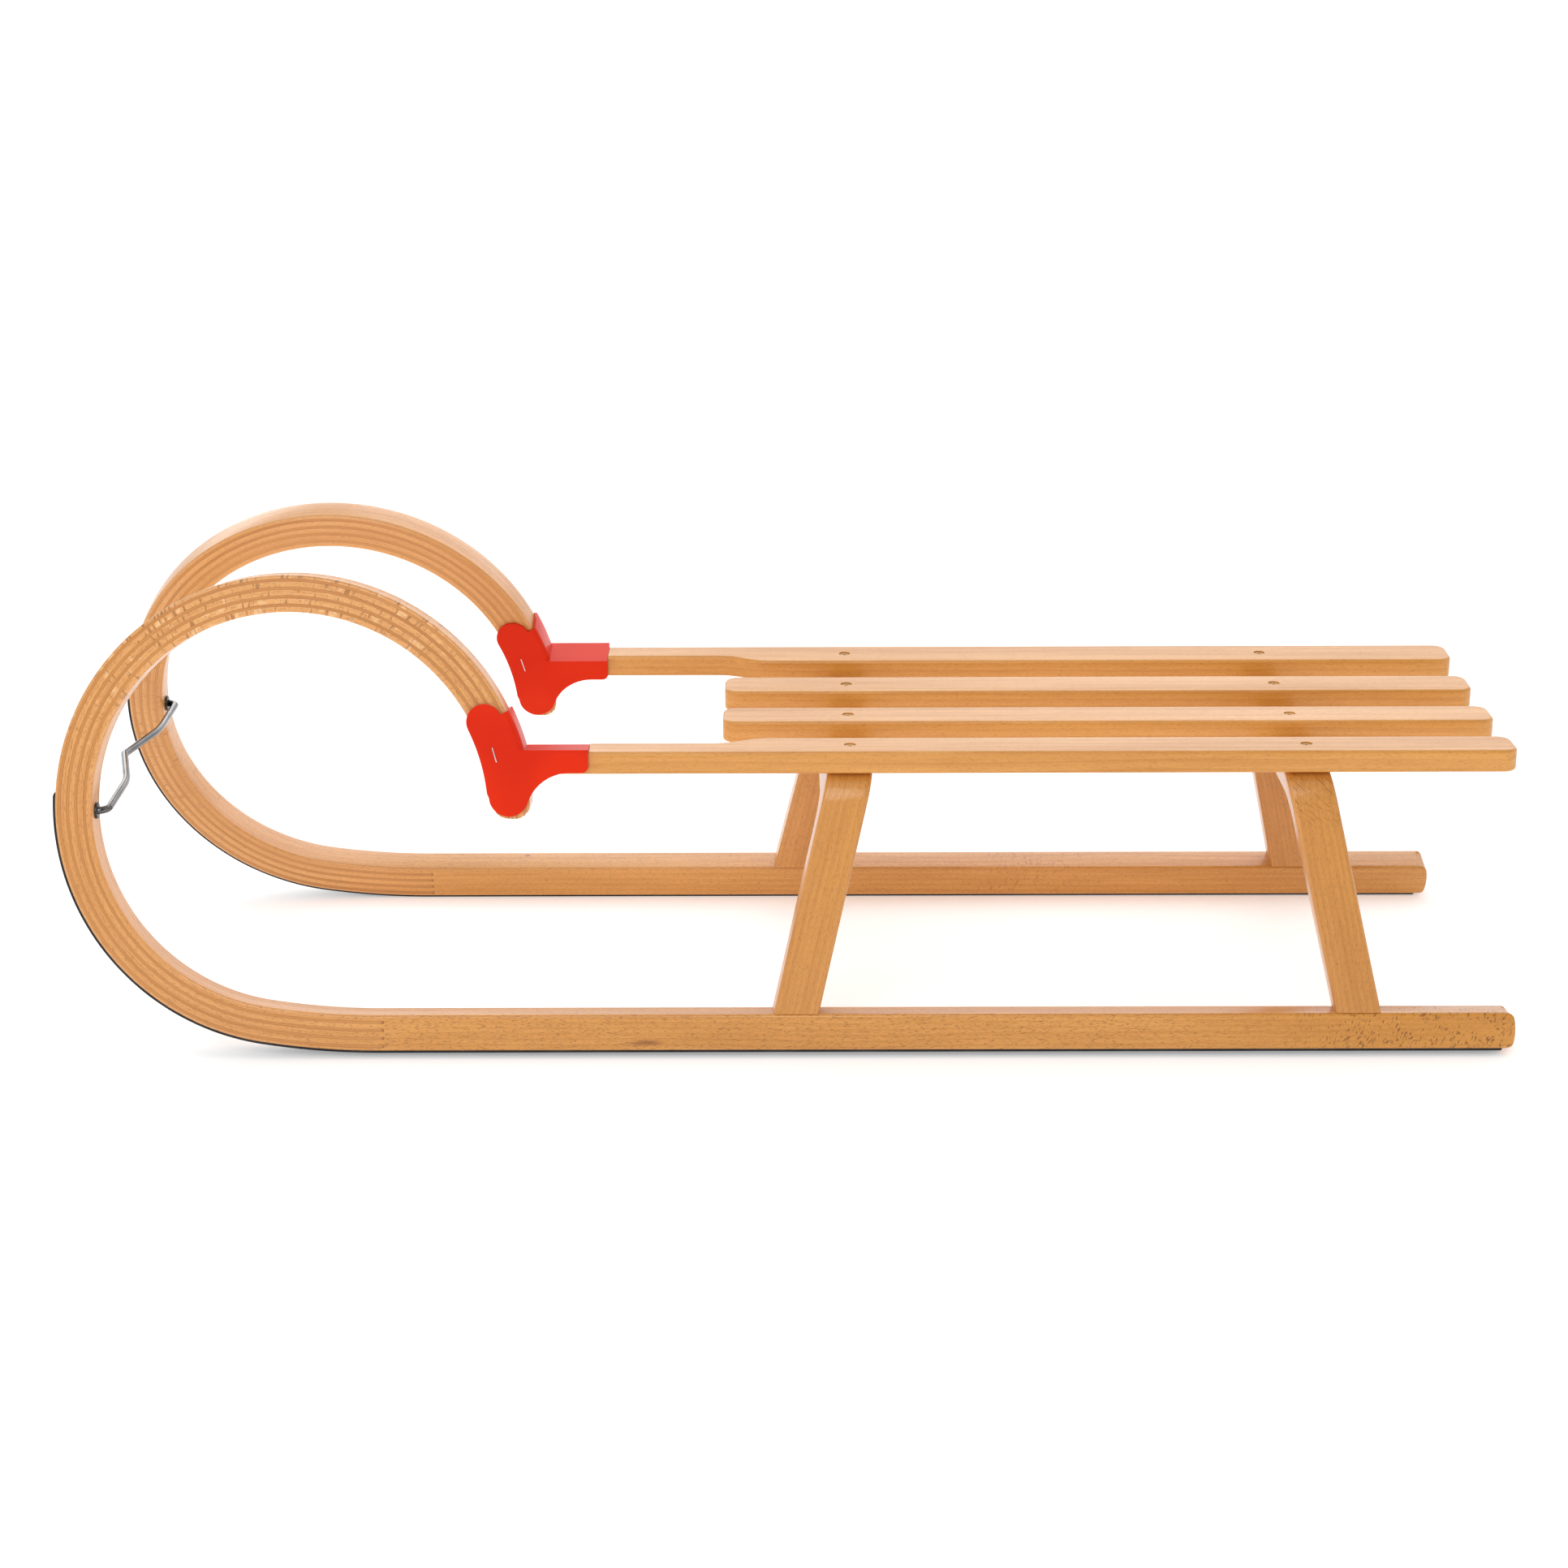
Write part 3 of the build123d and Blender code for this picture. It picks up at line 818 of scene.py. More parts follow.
class Finishes:
    """Every finish of the sled, built once."""

    HORN = Tint(Stretch(0.93, 3.0, 0.09), (0.775, 0.385, 0.13, 1.0), (0.6, 0.25, 0.06, 1.0), pores=0.7)
    REAR_END = Tint(
        Stretch(-0.1, 0.2, 0.12), (0.67, 0.295, 0.045, 1.0), (0.47, 0.17, 0.014, 1.0), pores=0.4
    )
    RAY_TILE: Colour = (0.88, 0.53, 0.25, 1.0)

    def __init__(self) -> None:
        """Build all materials."""
        self.runner = {
            Side.LEFT: self.left_runner().material(),
            Side.RIGHT: self.right_runner().material(),
        }
        self.bridge = BeechFinish(
            "bridge_beech",
            pale=(0.68, 0.308, 0.07, 1.0),
            deep=(0.48, 0.18, 0.026, 1.0),
            seed=9.2,
            pore_amount=0.4,
            flecks=(Flecks(Stretch(0.62, 0.66, 0.01), (800.0, 110.0), slant=0.8, amount=0.6),),
        ).material()
        self.slat = BeechFinish(
            "slat_beech", seed=12.7, pore_amount=0.3, ring_spacing=0.006, coat=0.08
        ).material()
        self.veneer = BeechFinish(
            "glued_veneer",
            pale=(0.64, 0.275, 0.07, 1.0),
            deep=(0.45, 0.165, 0.03, 1.0),
            seed=7.3,
            lamina_contrast=0.8,
            first_lamina=BAR.first_veneer - BAR.lamina / 2,
            pore_amount=0.2,
            marks=(Mark(centre=(0.8935, 0.0, 0.0), reach=(0.0035, 1.0, 1.0)),),
            glued=True,
        ).material()
        self.plastic = PlasticFinish(
            "red_plastic", colour=(0.72, 0.024, 0.0015, 1.0), shade=(0.64, 0.018, 0.001, 1.0)
        ).material()
        self.shoe = MetalFinish(
            "black_strip_steel",
            colour=(0.012, 0.012, 0.013, 1.0),
            shade=(0.03, 0.03, 0.03, 1.0),
            metallic=0.5,
            roughness=(0.3, 0.5),
            line_cells=(12.0, 900.0, 900.0),
        ).material()
        self.bar = MetalFinish(
            "drawn_steel",
            colour=(0.17, 0.17, 0.175, 1.0),
            shade=(0.1, 0.1, 0.105, 1.0),
            metallic=1.0,
            roughness=(0.08, 0.18),
            line_cells=(900.0, 40.0, 900.0),
        ).material()
        self.washer = MetalFinish(
            "black_washer",
            colour=(0.01, 0.01, 0.01, 1.0),
            shade=(0.02, 0.02, 0.02, 1.0),
            metallic=0.0,
            roughness=(0.16, 0.3),
            line_cells=(600.0, 600.0, 600.0),
        ).material()
        self.screw = MetalFinish(
            "yellow_zinc",
            colour=(0.66, 0.45, 0.22, 1.0),
            shade=(0.55, 0.36, 0.16, 1.0),
            metallic=0.35,
            roughness=(0.45, 0.6),
            line_cells=(700.0, 700.0, 700.0),
        ).material()
        self.shoe_screw = MetalFinish(
            "blackened_screw",
            colour=(0.05, 0.05, 0.05, 1.0),
            shade=(0.09, 0.09, 0.088, 1.0),
            metallic=0.9,
            roughness=(0.25, 0.4),
            line_cells=(600.0, 600.0, 600.0),
        ).material()
        self.staple = MetalFinish(
            "staple_wire",
            colour=(0.75, 0.75, 0.74, 1.0),
            shade=(0.6, 0.6, 0.6, 1.0),
            metallic=1.0,
            roughness=(0.2, 0.32),
            line_cells=(700.0, 700.0, 90.0),
        ).material()

    def left_runner(self) -> BeechFinish:
        """Left bar: flecked at its rear end, and tiled with rays at the top of the horn.

        Returns:
            Finish of the bar.
        """
        return BeechFinish(
            "runner_beech_left",
            seed=1.6,
            flecks=(
                Flecks(Stretch(-0.05, 0.17, 0.06), (640.0, 300.0), slant=0.35, amount=0.9),
                Flecks(Stretch(-0.05, 0.022, 0.012), (480.0, 22.0), slant=0.05, amount=0.5),
                Flecks(Stretch(1.3, 1.64, 0.07), (105.0, 60.0), slant=0.1, amount=0.7, colour=self.RAY_TILE),
                Flecks(Stretch(1.32, 1.64, 0.06), (420.0, 60.0), slant=0.12, amount=0.65),
            ),
            lamina_contrast=0.9,
            coat=0.35,
            tints=(self.HORN, self.REAR_END),
            marks=(Mark(centre=(0.6876, -0.0082, 0.0), reach=(0.021, 0.0032, 0.008)),),
        )

    def right_runner(self) -> BeechFinish:
        """Right bar: few pores, faint flecks and one small knot.

        Returns:
            Finish of the bar.
        """
        return BeechFinish(
            "runner_beech_right",
            seed=4.1,
            pore_amount=0.5,
            flecks=(
                Flecks(Stretch(0.3, 0.42, 0.06), (430.0, 170.0), slant=0.3, amount=0.35),
                Flecks(Stretch(1.1, 1.3, 0.08), (420.0, 60.0), slant=0.12, amount=0.3),
            ),
            lamina_contrast=0.9,
            coat=0.35,
            tints=(self.HORN,),
            marks=(Mark(centre=(0.8106, 0.0145, 0.006), reach=(0.004, 0.006, 0.003)),),
        )


class PieceMesh:
    """Points, faces and grain vectors of one piece while it is built."""

    def __init__(self) -> None:
        """Start empty."""
        self.points: list[Vector] = []
        self.grain: list[Vector] = []
        self.faces: list[tuple[int, ...]] = []

    def ring(self, points: Sequence[Vector], grain: Optional[Sequence[Vector]] = None) -> list[int]:
        """Add a row of points.

        Args:
            points: places of the row.
            grain: grain vectors of the row, or none to use the places.

        Returns:
            Their indices.
        """
        start = len(self.points)
        self.points.extend(points)
        self.grain.extend(grain if grain is not None else points)
        return list(range(start, len(self.points)))

    def join(self, first: Sequence[int], second: Sequence[int]) -> None:
        """Close two rings with quads.

        Args:
            first: one ring.
            second: the next ring, of equal length.
        """
        count = len(first)
        for index in range(count):
            after = (index + 1) % count
            self.faces.append((first[index], first[after], second[after], second[index]))

    def ladder(self, ring: Sequence[int]) -> None:
        """Fill a ring with rungs.

        Args:
            ring: ring that is the mirror image of itself across its middle.
        """
        last = len(ring) - 1
        for index in range(len(ring) // 2 - 1):
            self.faces.append((ring[index], ring[index + 1], ring[last - index - 1], ring[last - index]))

    def fan(self, ring: Sequence[int]) -> None:
        """Fill a ring with one flat face."""
        self.faces.append(tuple(ring))

    def tube(self, rings: Sequence[Sequence[int]]) -> None:
        """Join rings in a row."""
        for first, second in zip(rings, rings[1:]):
            self.join(first, second)

    def rod(self, rings: Sequence[Sequence[int]], cap: Callable[[Sequence[int]], None]) -> None:
        """Join rings in a row and close both ends.

        Args:
            rings: rings from end to end.
            cap: how an end ring is filled.
        """
        cap(rings[0])
        self.tube(rings)
        cap(rings[-1])

    def cone(self, ring: Sequence[int], apex: Vector) -> None:
        """Close a ring with triangles to a point.

        Args:
            ring: ring to close.
            apex: place of the point.
        """
        top = self.ring([apex])[0]
        for index, here in enumerate(ring):
            self.faces.append((here, ring[(index + 1) % len(ring)], top))

    def wire(self, path: Sequence[Vector], radius: float, sides: int = 10) -> None:
        """Add a round wire with flat ends.

        Args:
            path: middle line of the wire.
            radius: radius of its section.
            sides: number of flats round the section.
        """
        rings = []
        normal = (path[1] - path[0]).orthogonal()
        angles = [math.tau * step / sides for step in range(sides)]
        for index, point in enumerate(path):
            tangent = (path[min(index + 1, len(path) - 1)] - path[max(index - 1, 0)]).normalized()
            normal = (normal - tangent * normal.dot(tangent)).normalized()
            across = tangent.cross(normal)
            ways = [normal * math.cos(angle) + across * math.sin(angle) for angle in angles]
            rings.append(self.ring([point + way * radius for way in ways]))
        self.rod(rings, self.fan)

    def build(
        self, name: str, material: bpy.types.Material, smoothing: Smoothing
    ) -> bpy.types.Object:
        """Make the object.

        Args:
            name: name of the piece.
            material: its finish.
            smoothing: which edges are shaded smooth.

        Returns:
            Linked mesh object.
        """
        mesh = bpy.data.meshes.new(name)
        mesh.from_pydata([tuple(p) for p in self.points], [], self.faces)
        form = bmesh.new()
        form.from_mesh(mesh)
        bmesh.ops.recalc_face_normals(form, faces=form.faces)
        form.to_mesh(mesh)
        form.free()
        return finish_mesh(mesh, material, self.grain, smoothing)


def finish_mesh(
    mesh: bpy.types.Mesh,
    material: bpy.types.Material,
    grain: Sequence[Vector],
    smoothing: Smoothing,
) -> bpy.types.Object:
    """Give a mesh its grain attribute, shading, finish and object.

    Args:
        mesh: mesh to finish, named as its piece.
        material: its finish.
        grain: grain vector of each point.
        smoothing: which edges are shaded smooth.

    Returns:
        Linked mesh object.
    """
    layer = mesh.attributes.new(GRAIN, "FLOAT_VECTOR", "POINT")
    layer.data.foreach_set("vector", [number for vector in grain for number in vector])
    mesh.shade_smooth()
    mesh.set_sharp_from_angle(angle=math.radians(smoothing.value))
    mesh.materials.clear()
    mesh.materials.append(material)
    return linked(mesh)


def linked(mesh: bpy.types.Mesh) -> bpy.types.Object:
    """Object in the scene with a mesh and its name.

    Args:
        mesh: mesh to show.

    Returns:
        Linked object.
    """
    made = bpy.data.objects.new(mesh.name, mesh)
    bpy.context.scene.collection.objects.link(made)
    return made


def node_piece(
    node: str,
    name: str,
    material: bpy.types.Material,
    smoothing: Smoothing,
    grain: Callable[[Vector], Vector] = Vector,
) -> bpy.types.Object:
    """Piece with the shape of a CAD node, welded and with its finish.

    Args:
        node: name of the CAD node.
        name: name of the piece.
        material: its finish.
        smoothing: which edges are shaded smooth.
        grain: grain vector at a place.

    Returns:
        Linked mesh object.
    """
    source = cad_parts[node].data
    form = bmesh.new()
    points = [form.verts.new(v.co) for v in source.vertices]
    for face in source.polygons:
        try:
            form.faces.new([points[i] for i in face.vertices])
        except ValueError:
            continue
    bmesh.ops.remove_doubles(form, verts=form.verts, dist=WELD_REACH)
    bmesh.ops.dissolve_degenerate(form, edges=form.edges, dist=SLIVER_REACH)
    bmesh.ops.recalc_face_normals(form, faces=form.faces)
    mesh = bpy.data.meshes.new(name)
    form.to_mesh(mesh)
    form.free()
    return finish_mesh(mesh, material, [grain(v.co) for v in mesh.vertices], smoothing)


def settle(piece: bpy.types.Object, slot: str, *nodes: str) -> None:
    """Put a piece on the sled's body, in place of CAD nodes.

    Args:
        piece: finished piece.
        slot: material slot; not used.
        nodes: CAD nodes that the piece stands for.
    """
    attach(piece, BODY)
    if nodes:
        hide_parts(*nodes)
    LOG.info("%s: %d faces", piece.name, len(piece.data.polygons))


@dataclass(frozen=True)
class Spot:
    """Place of a small turned part: a point, the way out of the surface, and a turn about it."""

    origin: Vector
    outward: Vector
    turn: float = 0.0

    def point(self, radius: float, angle: float, height: float) -> Vector:
        """Point about the way out of the surface.

        Args:
            radius: distance from the way out.
            angle: turn about it, in radians.
            height: distance along it.

        Returns:
            Point in the sled's frame.
        """
        out = self.outward.normalized()
        first = out.orthogonal().normalized()
        second = out.cross(first)
        swing = angle + self.turn
        return self.origin + (first * math.cos(swing) + second * math.sin(swing)) * radius + out * height

    def ring(self, mesh: PieceMesh, radii: Sequence[float], height: float) -> list[int]:
        """Ring of points with one radius for each even step of angle."""
        count = len(radii)
        return mesh.ring([self.point(r, math.tau * i / count, height) for i, r in enumerate(radii)])


@dataclass(frozen=True)
class Screw:
    """Countersunk wood screw with a cross recess; its head's top is at the spot."""

    head_radius: float
    head_depth: float
    shank_radius: float
    length: float
    recess_depth: float
    steps: int = 48
    tip_share: float = 0.4
    recess_share: float = 0.56
    recess_half_width: float = 0.0006
    recess_taper: float = 0.6
    recess_point: float = 1.2
    rim: float = 0.0003

    def recess_radius(self, angle: float) -> float:
        """Reach of the cross recess.

        Args:
            angle: turn from one arm of the cross, in radians.

        Returns:
            Distance from the middle to the recess's wall.
        """
        reach = self.head_radius * self.recess_share
        along, across = max(abs(math.cos(angle)), TINY), max(abs(math.sin(angle)), TINY)
        first = min(reach / along, self.recess_half_width / across)
        second = min(self.recess_half_width / along, reach / across)
        return max(first, second)

    def add(self, mesh: PieceMesh, spot: Spot) -> None:
        """Add the screw to a mesh.

        Args:
            mesh: mesh that takes it.
            spot: place of its head.
        """
        cross = [self.recess_radius(math.tau * i / self.steps) for i in range(self.steps)]
        profile = (
            (self.shank_radius * self.tip_share, -self.length),
            (self.shank_radius, -self.length + self.shank_radius),
            (self.shank_radius, -self.head_depth),
            (self.head_radius, -self.rim),
            (self.head_radius - self.rim, 0.0),
        )
        rings = [spot.ring(mesh, [radius] * self.steps, height) for radius, height in profile]
        rings.append(spot.ring(mesh, cross, 0.0))
        rings.append(spot.ring(mesh, [radius * self.recess_taper for radius in cross], -self.recess_depth))
        mesh.fan(rings[0])
        mesh.tube(rings)
        mesh.cone(rings[-1], spot.point(0.0, 0.0, -self.recess_depth * self.recess_point))


@dataclass
class HornRunner:
    """Bent runner and horn of one side: solid bar, sawn laminae and glued veneers."""

    side: Side
    finishes: Finishes
    shape: BarShape = BAR
    edge_round: float = 0.0025
    edge_steps: int = 5
    rear_bulge: float = 0.002
    rear_round: float = 0.004
    rear_ease: float = 0.0018
    tip_round: float = 0.012
    tip_setback: float = 0.0008
    tip_ease: float = 0.0004
    veneer_count: int = 4
    straight_stations: tuple[float, ...] = (0.02, 0.2, 0.4, 0.6, 0.8)
    station_step: float = 0.006

    def bands(self) -> list[tuple[float, float]]:
        """Offsets of both sides of each veneer, from the convex face inwards."""
        lows = [self.shape.first_veneer + i * self.shape.lamina_pitch for i in range(self.veneer_count)]
        return [(low, low + self.shape.veneer) for low in lows]

    def corner(self, offset: float, radius: float) -> float:
        """How far a rounded corner of the bar draws back.

        Args:
            offset: distance from the middle line.
            radius: radius of the corner.

        Returns:
            Distance behind the face that the corner rounds off.
        """
        reach = min(abs(offset) - (self.shape.half_height - radius), radius)
        if reach <= 0:
            return 0.0
        return radius - math.sqrt(radius**2 - reach**2)

    def offsets(self, low: float, high: float) -> list[float]:
        """Offsets of a section's rows, closer together on rounded edges.

        Args:
            low: offset of the section's convex side.
            high: offset of its concave side.

        Returns:
            Rising offsets with both ends.
        """
        marks = {low, high}
        for radius in (self.edge_round, self.rear_round, self.tip_round):
            for step in range(self.edge_steps + 1):
                drop = radius * (1 - math.sin(math.pi / 2 * step / self.edge_steps))
                turn = self.shape.half_height - drop
                marks.update(mark for mark in (turn, -turn) if low < mark < high)
        return sorted(marks)

    def start_at(self, offset: float) -> float:
        """Where the rear end begins at an offset: a shallow bulge with small corners."""
        share = offset / self.shape.half_height
        return self.rear_bulge * share * share + self.corner(offset, self.rear_round)

    def end_at(self, offset: float) -> float:
        """Where the horn's tip ends at an offset: a blunt round."""
        return self.shape.length - self.corner(offset, self.tip_round)

    def section(
        self,
        mesh: PieceMesh,
        band: tuple[float, float],
        along: Callable[[float], float],
        inset: float = 0.0,
    ) -> list[int]:
        """Add one ring of a strip.

        Args:
            mesh: mesh that takes the ring.
            band: offsets of the strip's convex and concave side.
            along: distance along the bar at an offset.
            inset: how far the ring is drawn in from the strip's skin.

        Returns:
            Indices of the ring.
        """
        low, high = band
        middle = (low + high) / 2
        shrink = 1 - inset / ((high - low) / 2)
        rows = []
        for offset in self.offsets(low, high):
            margin = inset + self.corner(offset, self.edge_round) * (1 - inset / self.edge_round)
            rows.append((along(offset), middle + (offset - middle) * shrink, margin))
        rows += [(run, drawn, self.shape.width - margin) for run, drawn, margin in reversed(rows)]
        places = [self.shape.point(run, drawn, depth, self.side) for run, drawn, depth in rows]
        return mesh.ring(places, [Vector(row) for row in rows])

    def stations(self, start: float, end: float) -> list[float]:
        """Even distances between two ends, both left out."""
        count = max(2, round((end - start) / self.station_step))
        return [start + (end - start) * i / count for i in range(1, count)]

    def solid_bar(self, mesh: PieceMesh) -> None:
        """Add the straight part with its rounded rear end.

        Args:
            mesh: mesh that takes it.
        """
        band = (-self.shape.half_height, self.shape.half_height)
        rings = []
        for back, inset in quarter_round(self.rear_ease):
            rings.append(self.section(mesh, band, lambda offset: self.start_at(offset) + back, inset))
        for along in (*self.straight_stations, self.shape.kerf_start):
            rings.append(self.section(mesh, band, lambda offset: along))
        mesh.rod(rings, mesh.ladder)

    def strip(self, mesh: PieceMesh, band: tuple[float, float]) -> None:
        """Add one lamina or veneer from the end of the kerf to the horn's tip.

        Args:
            mesh: mesh that takes it.
            band: offsets of the strip's convex and concave side.
        """
        start = self.shape.kerf_start
        rings = []
        for along in (start, *self.stations(start, self.shape.length - self.tip_round)):
            rings.append(self.section(mesh, band, lambda offset: along))
        for back, inset in ((self.tip_setback, 0.0), (0.0, self.tip_ease)):
            rings.append(self.section(mesh, band, lambda offset: self.end_at(offset) - back, inset))
        mesh.rod(rings, mesh.ladder)

    def build(self) -> None:
        """Build the runner's bar and its veneers."""
        tag = self.side.tag
        half = self.shape.half_height
        mesh = PieceMesh()
        self.solid_bar(mesh)
        edges = [-half, *(edge for band in self.bands() for edge in band), half]
        for band in zip(edges[::2], edges[1::2]):
            self.strip(mesh, band)
        piece = mesh.build(f"bent_runner_{tag}", self.finishes.runner[self.side], Smoothing.BENT_BAR)
        settle(piece, "beech", f"runner_{tag}")
        for index, band in enumerate(self.bands(), start=1):
            mesh = PieceMesh()
            self.strip(mesh, band)
            piece = mesh.build(f"horn_veneer_{index}_{tag}", self.finishes.veneer, Smoothing.BENT_BAR)
            settle(piece, "veneer", f"kerf_veneer_{index}_{tag}")


@dataclass
class SeatBridges:
    """The two bent bridges that carry the seat."""

    finishes: Finishes
    shape: BarShape = BAR
    lean: float = math.radians(13.0)
    front_x: float = 0.5255
    rear_x: float = 0.167
    top_z: float = 0.22003
    thickness: float = 0.028
    inner_bend: float = 0.022
    grain_shift: float = 3.0

    def grain_of(self, bridge_x: float, lean_sign: int) -> Callable[[Vector], Vector]:
        """Grain that runs along the crossbar, round the bend and down the leg.

        Args:
            bridge_x: place of the crossbar from the rear end.
            lean_sign: 1 where the feet stand further forward than the crossbar.

        Returns:
            Function from a place to its grain vector.
        """
        cant = self.shape.cant
        middle = self.inner_bend + self.thickness / 2
        turn = math.pi / 2 - cant
        bend_z = self.top_z - self.thickness - self.inner_bend
        inner_y = self.shape.half_track - self.shape.width * math.cos(cant)
        inner_z = self.shape.base_z - self.shape.width * math.sin(cant)
        bend_y = inner_y - (bend_z - inner_z) * math.tan(cant) - self.inner_bend / math.cos(cant)

        def grain(place: Vector) -> Vector:
            """Grain vector of one bridge.

            Args:
                place: point of the bridge.

            Returns:
                Distances along, across and into its bent bar.
            """
            y, z = abs(place.y) - bend_y, place.z - bend_z
            across = place.x + self.shape.middle_x - bridge_x
            across -= lean_sign * (self.top_z - place.z) * math.tan(self.lean)
            angle = math.atan2(y, z)
            if y < 0 and z > 0:
                along, depth = bend_y + y, z
            elif angle < turn:
                along, depth = bend_y + middle * angle, math.hypot(y, z)
            else:
                down = y * math.sin(cant) - z * math.cos(cant)
                along, depth = bend_y + middle * turn + down, y * math.cos(cant) + z * math.sin(cant)
            sign = 1 if place.y > 0 else -1
            return Vector((sign * along + self.grain_shift * bridge_x, across, depth - middle))

        return grain

    def build(self) -> None:
        """Build both bridges."""
        for name, bridge_x, lean_sign in (("front", self.front_x, 1), ("rear", self.rear_x, -1)):
            node = f"bridge_{name}"
            grain = self.grain_of(bridge_x, lean_sign)
            piece = node_piece(node, f"seat_{node}", self.finishes.bridge, Smoothing.BOARD, grain)
            settle(piece, "beech", node)


@dataclass
class SeatSlats:
    """The four slats of the seat and the screws in their counterbores."""

    finishes: Finishes
    shape: BarShape = BAR
    dish_radius: float = 4.0
    thickness: float = 0.018
    board_start: float = 2.0
    board_step: Triple = (1.7, 0.013, 0.031)
    screw: Screw = Screw(
        head_radius=0.00455, head_depth=0.0042, shank_radius=0.0023, length=0.0155, recess_depth=0.0018
    )
    screw_x: tuple[float, float] = (SeatBridges.front_x, SeatBridges.rear_x)
    screw_sink: float = 0.0011
    turn_by_slat: float = 0.7
    turn_by_bridge: float = 1.9
    nodes: tuple[str, ...] = ("outer_slat_left", "inner_slat_left", "inner_slat_right", "outer_slat_right")

    def screw_spots(self, node: str, index: int) -> list[Spot]:
        """Places of a slat's screw heads, sunk below its tilted top.

        Args:
            node: CAD node of the slat.
            index: number of the slat, which turns its screws.

        Returns:
            One spot above each bridge.
        """
        low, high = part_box(node)
        middle_y, middle_z = (low[1] + high[1]) / 2, (low[2] + high[2]) / 2
        tilt = math.asin(middle_y / (self.dish_radius - self.thickness / 2))
        outward = Vector((0.0, -math.sin(tilt), math.cos(tilt)))
        spots = []
        for bridge, x in enumerate(self.screw_x):
            middle = Vector((x - self.shape.middle_x, middle_y, middle_z))
            top = middle + outward * (self.thickness / 2 - self.screw_sink)
            spots.append(Spot(top, outward, self.turn_by_slat * index + self.turn_by_bridge * bridge))
        return spots

    def build(self) -> None:
        """Build all slats, each from its own board, and their screws."""
        screws = PieceMesh()
        for index, node in enumerate(self.nodes):
            shift = Vector(self.board_step) * index + Vector((self.board_start, 0.0, 0.0))
            piece = node_piece(
                node, f"seat_{node}", self.finishes.slat, Smoothing.BOARD, lambda place: place + shift
            )
            settle(piece, "beech", node)
            for spot in self.screw_spots(node, index):
                self.screw.add(screws, spot)
        settle(screws.build("slat_screws", self.finishes.screw, Smoothing.SCREW), "bar_steel")


@dataclass
class HornCap:
    """Moulded cap of one side with the staples that hold it."""

    side: Side
    finishes: Finishes
    shape: BarShape = BAR
    wall: float = 0.0028
    staple_top: tuple[float, float] = (0.8043, 0.2422)
    staple_foot: tuple[float, float] = (0.8012, 0.2309)
    wire_radius: float = 0.0005
    wire_proud: float = 0.55
    staple_bend: float = 0.0008
    staple_leg: float = 0.006

    def staple(self, mesh: PieceMesh, cheek: Cheek) -> None:
        """Add one staple, pressed into a cheek.

        Args:
            mesh: mesh that takes it.
            cheek: wall of the cap that it sits in.
        """
        top, foot = Vector(self.staple_top), Vector(self.staple_foot)
        along = (foot - top).normalized()
        face = -self.wall if cheek is Cheek.OUTER else self.shape.width + self.wall
        proud = self.wire_radius * self.wire_proud
        bend = quarter_round(self.staple_bend)
        path = [(top, self.staple_leg)]
        path += [(top + along * slide, sink - proud) for slide, sink in bend]
        path += [(foot - along * slide, sink - proud) for slide, sink in reversed(bend)]
        path.append((foot, self.staple_leg))
        places = [self.shape.place(flat, face + cheek.value * sink, self.side) for flat, sink in path]
        mesh.wire(places, self.wire_radius)

    def build(self) -> None:
        """Build the cap and its staples."""
        tag = self.side.tag
        node = f"horn_cap_{tag}"
        piece = node_piece(node, f"moulded_cap_{tag}", self.finishes.plastic, Smoothing.MOULDING)
        settle(piece, "red_plastic", node)
        mesh = PieceMesh()
        for cheek in Cheek:
            self.staple(mesh, cheek)
        settle(mesh.build(f"cap_staples_{tag}", self.finishes.staple, Smoothing.ROD), "bar_steel")


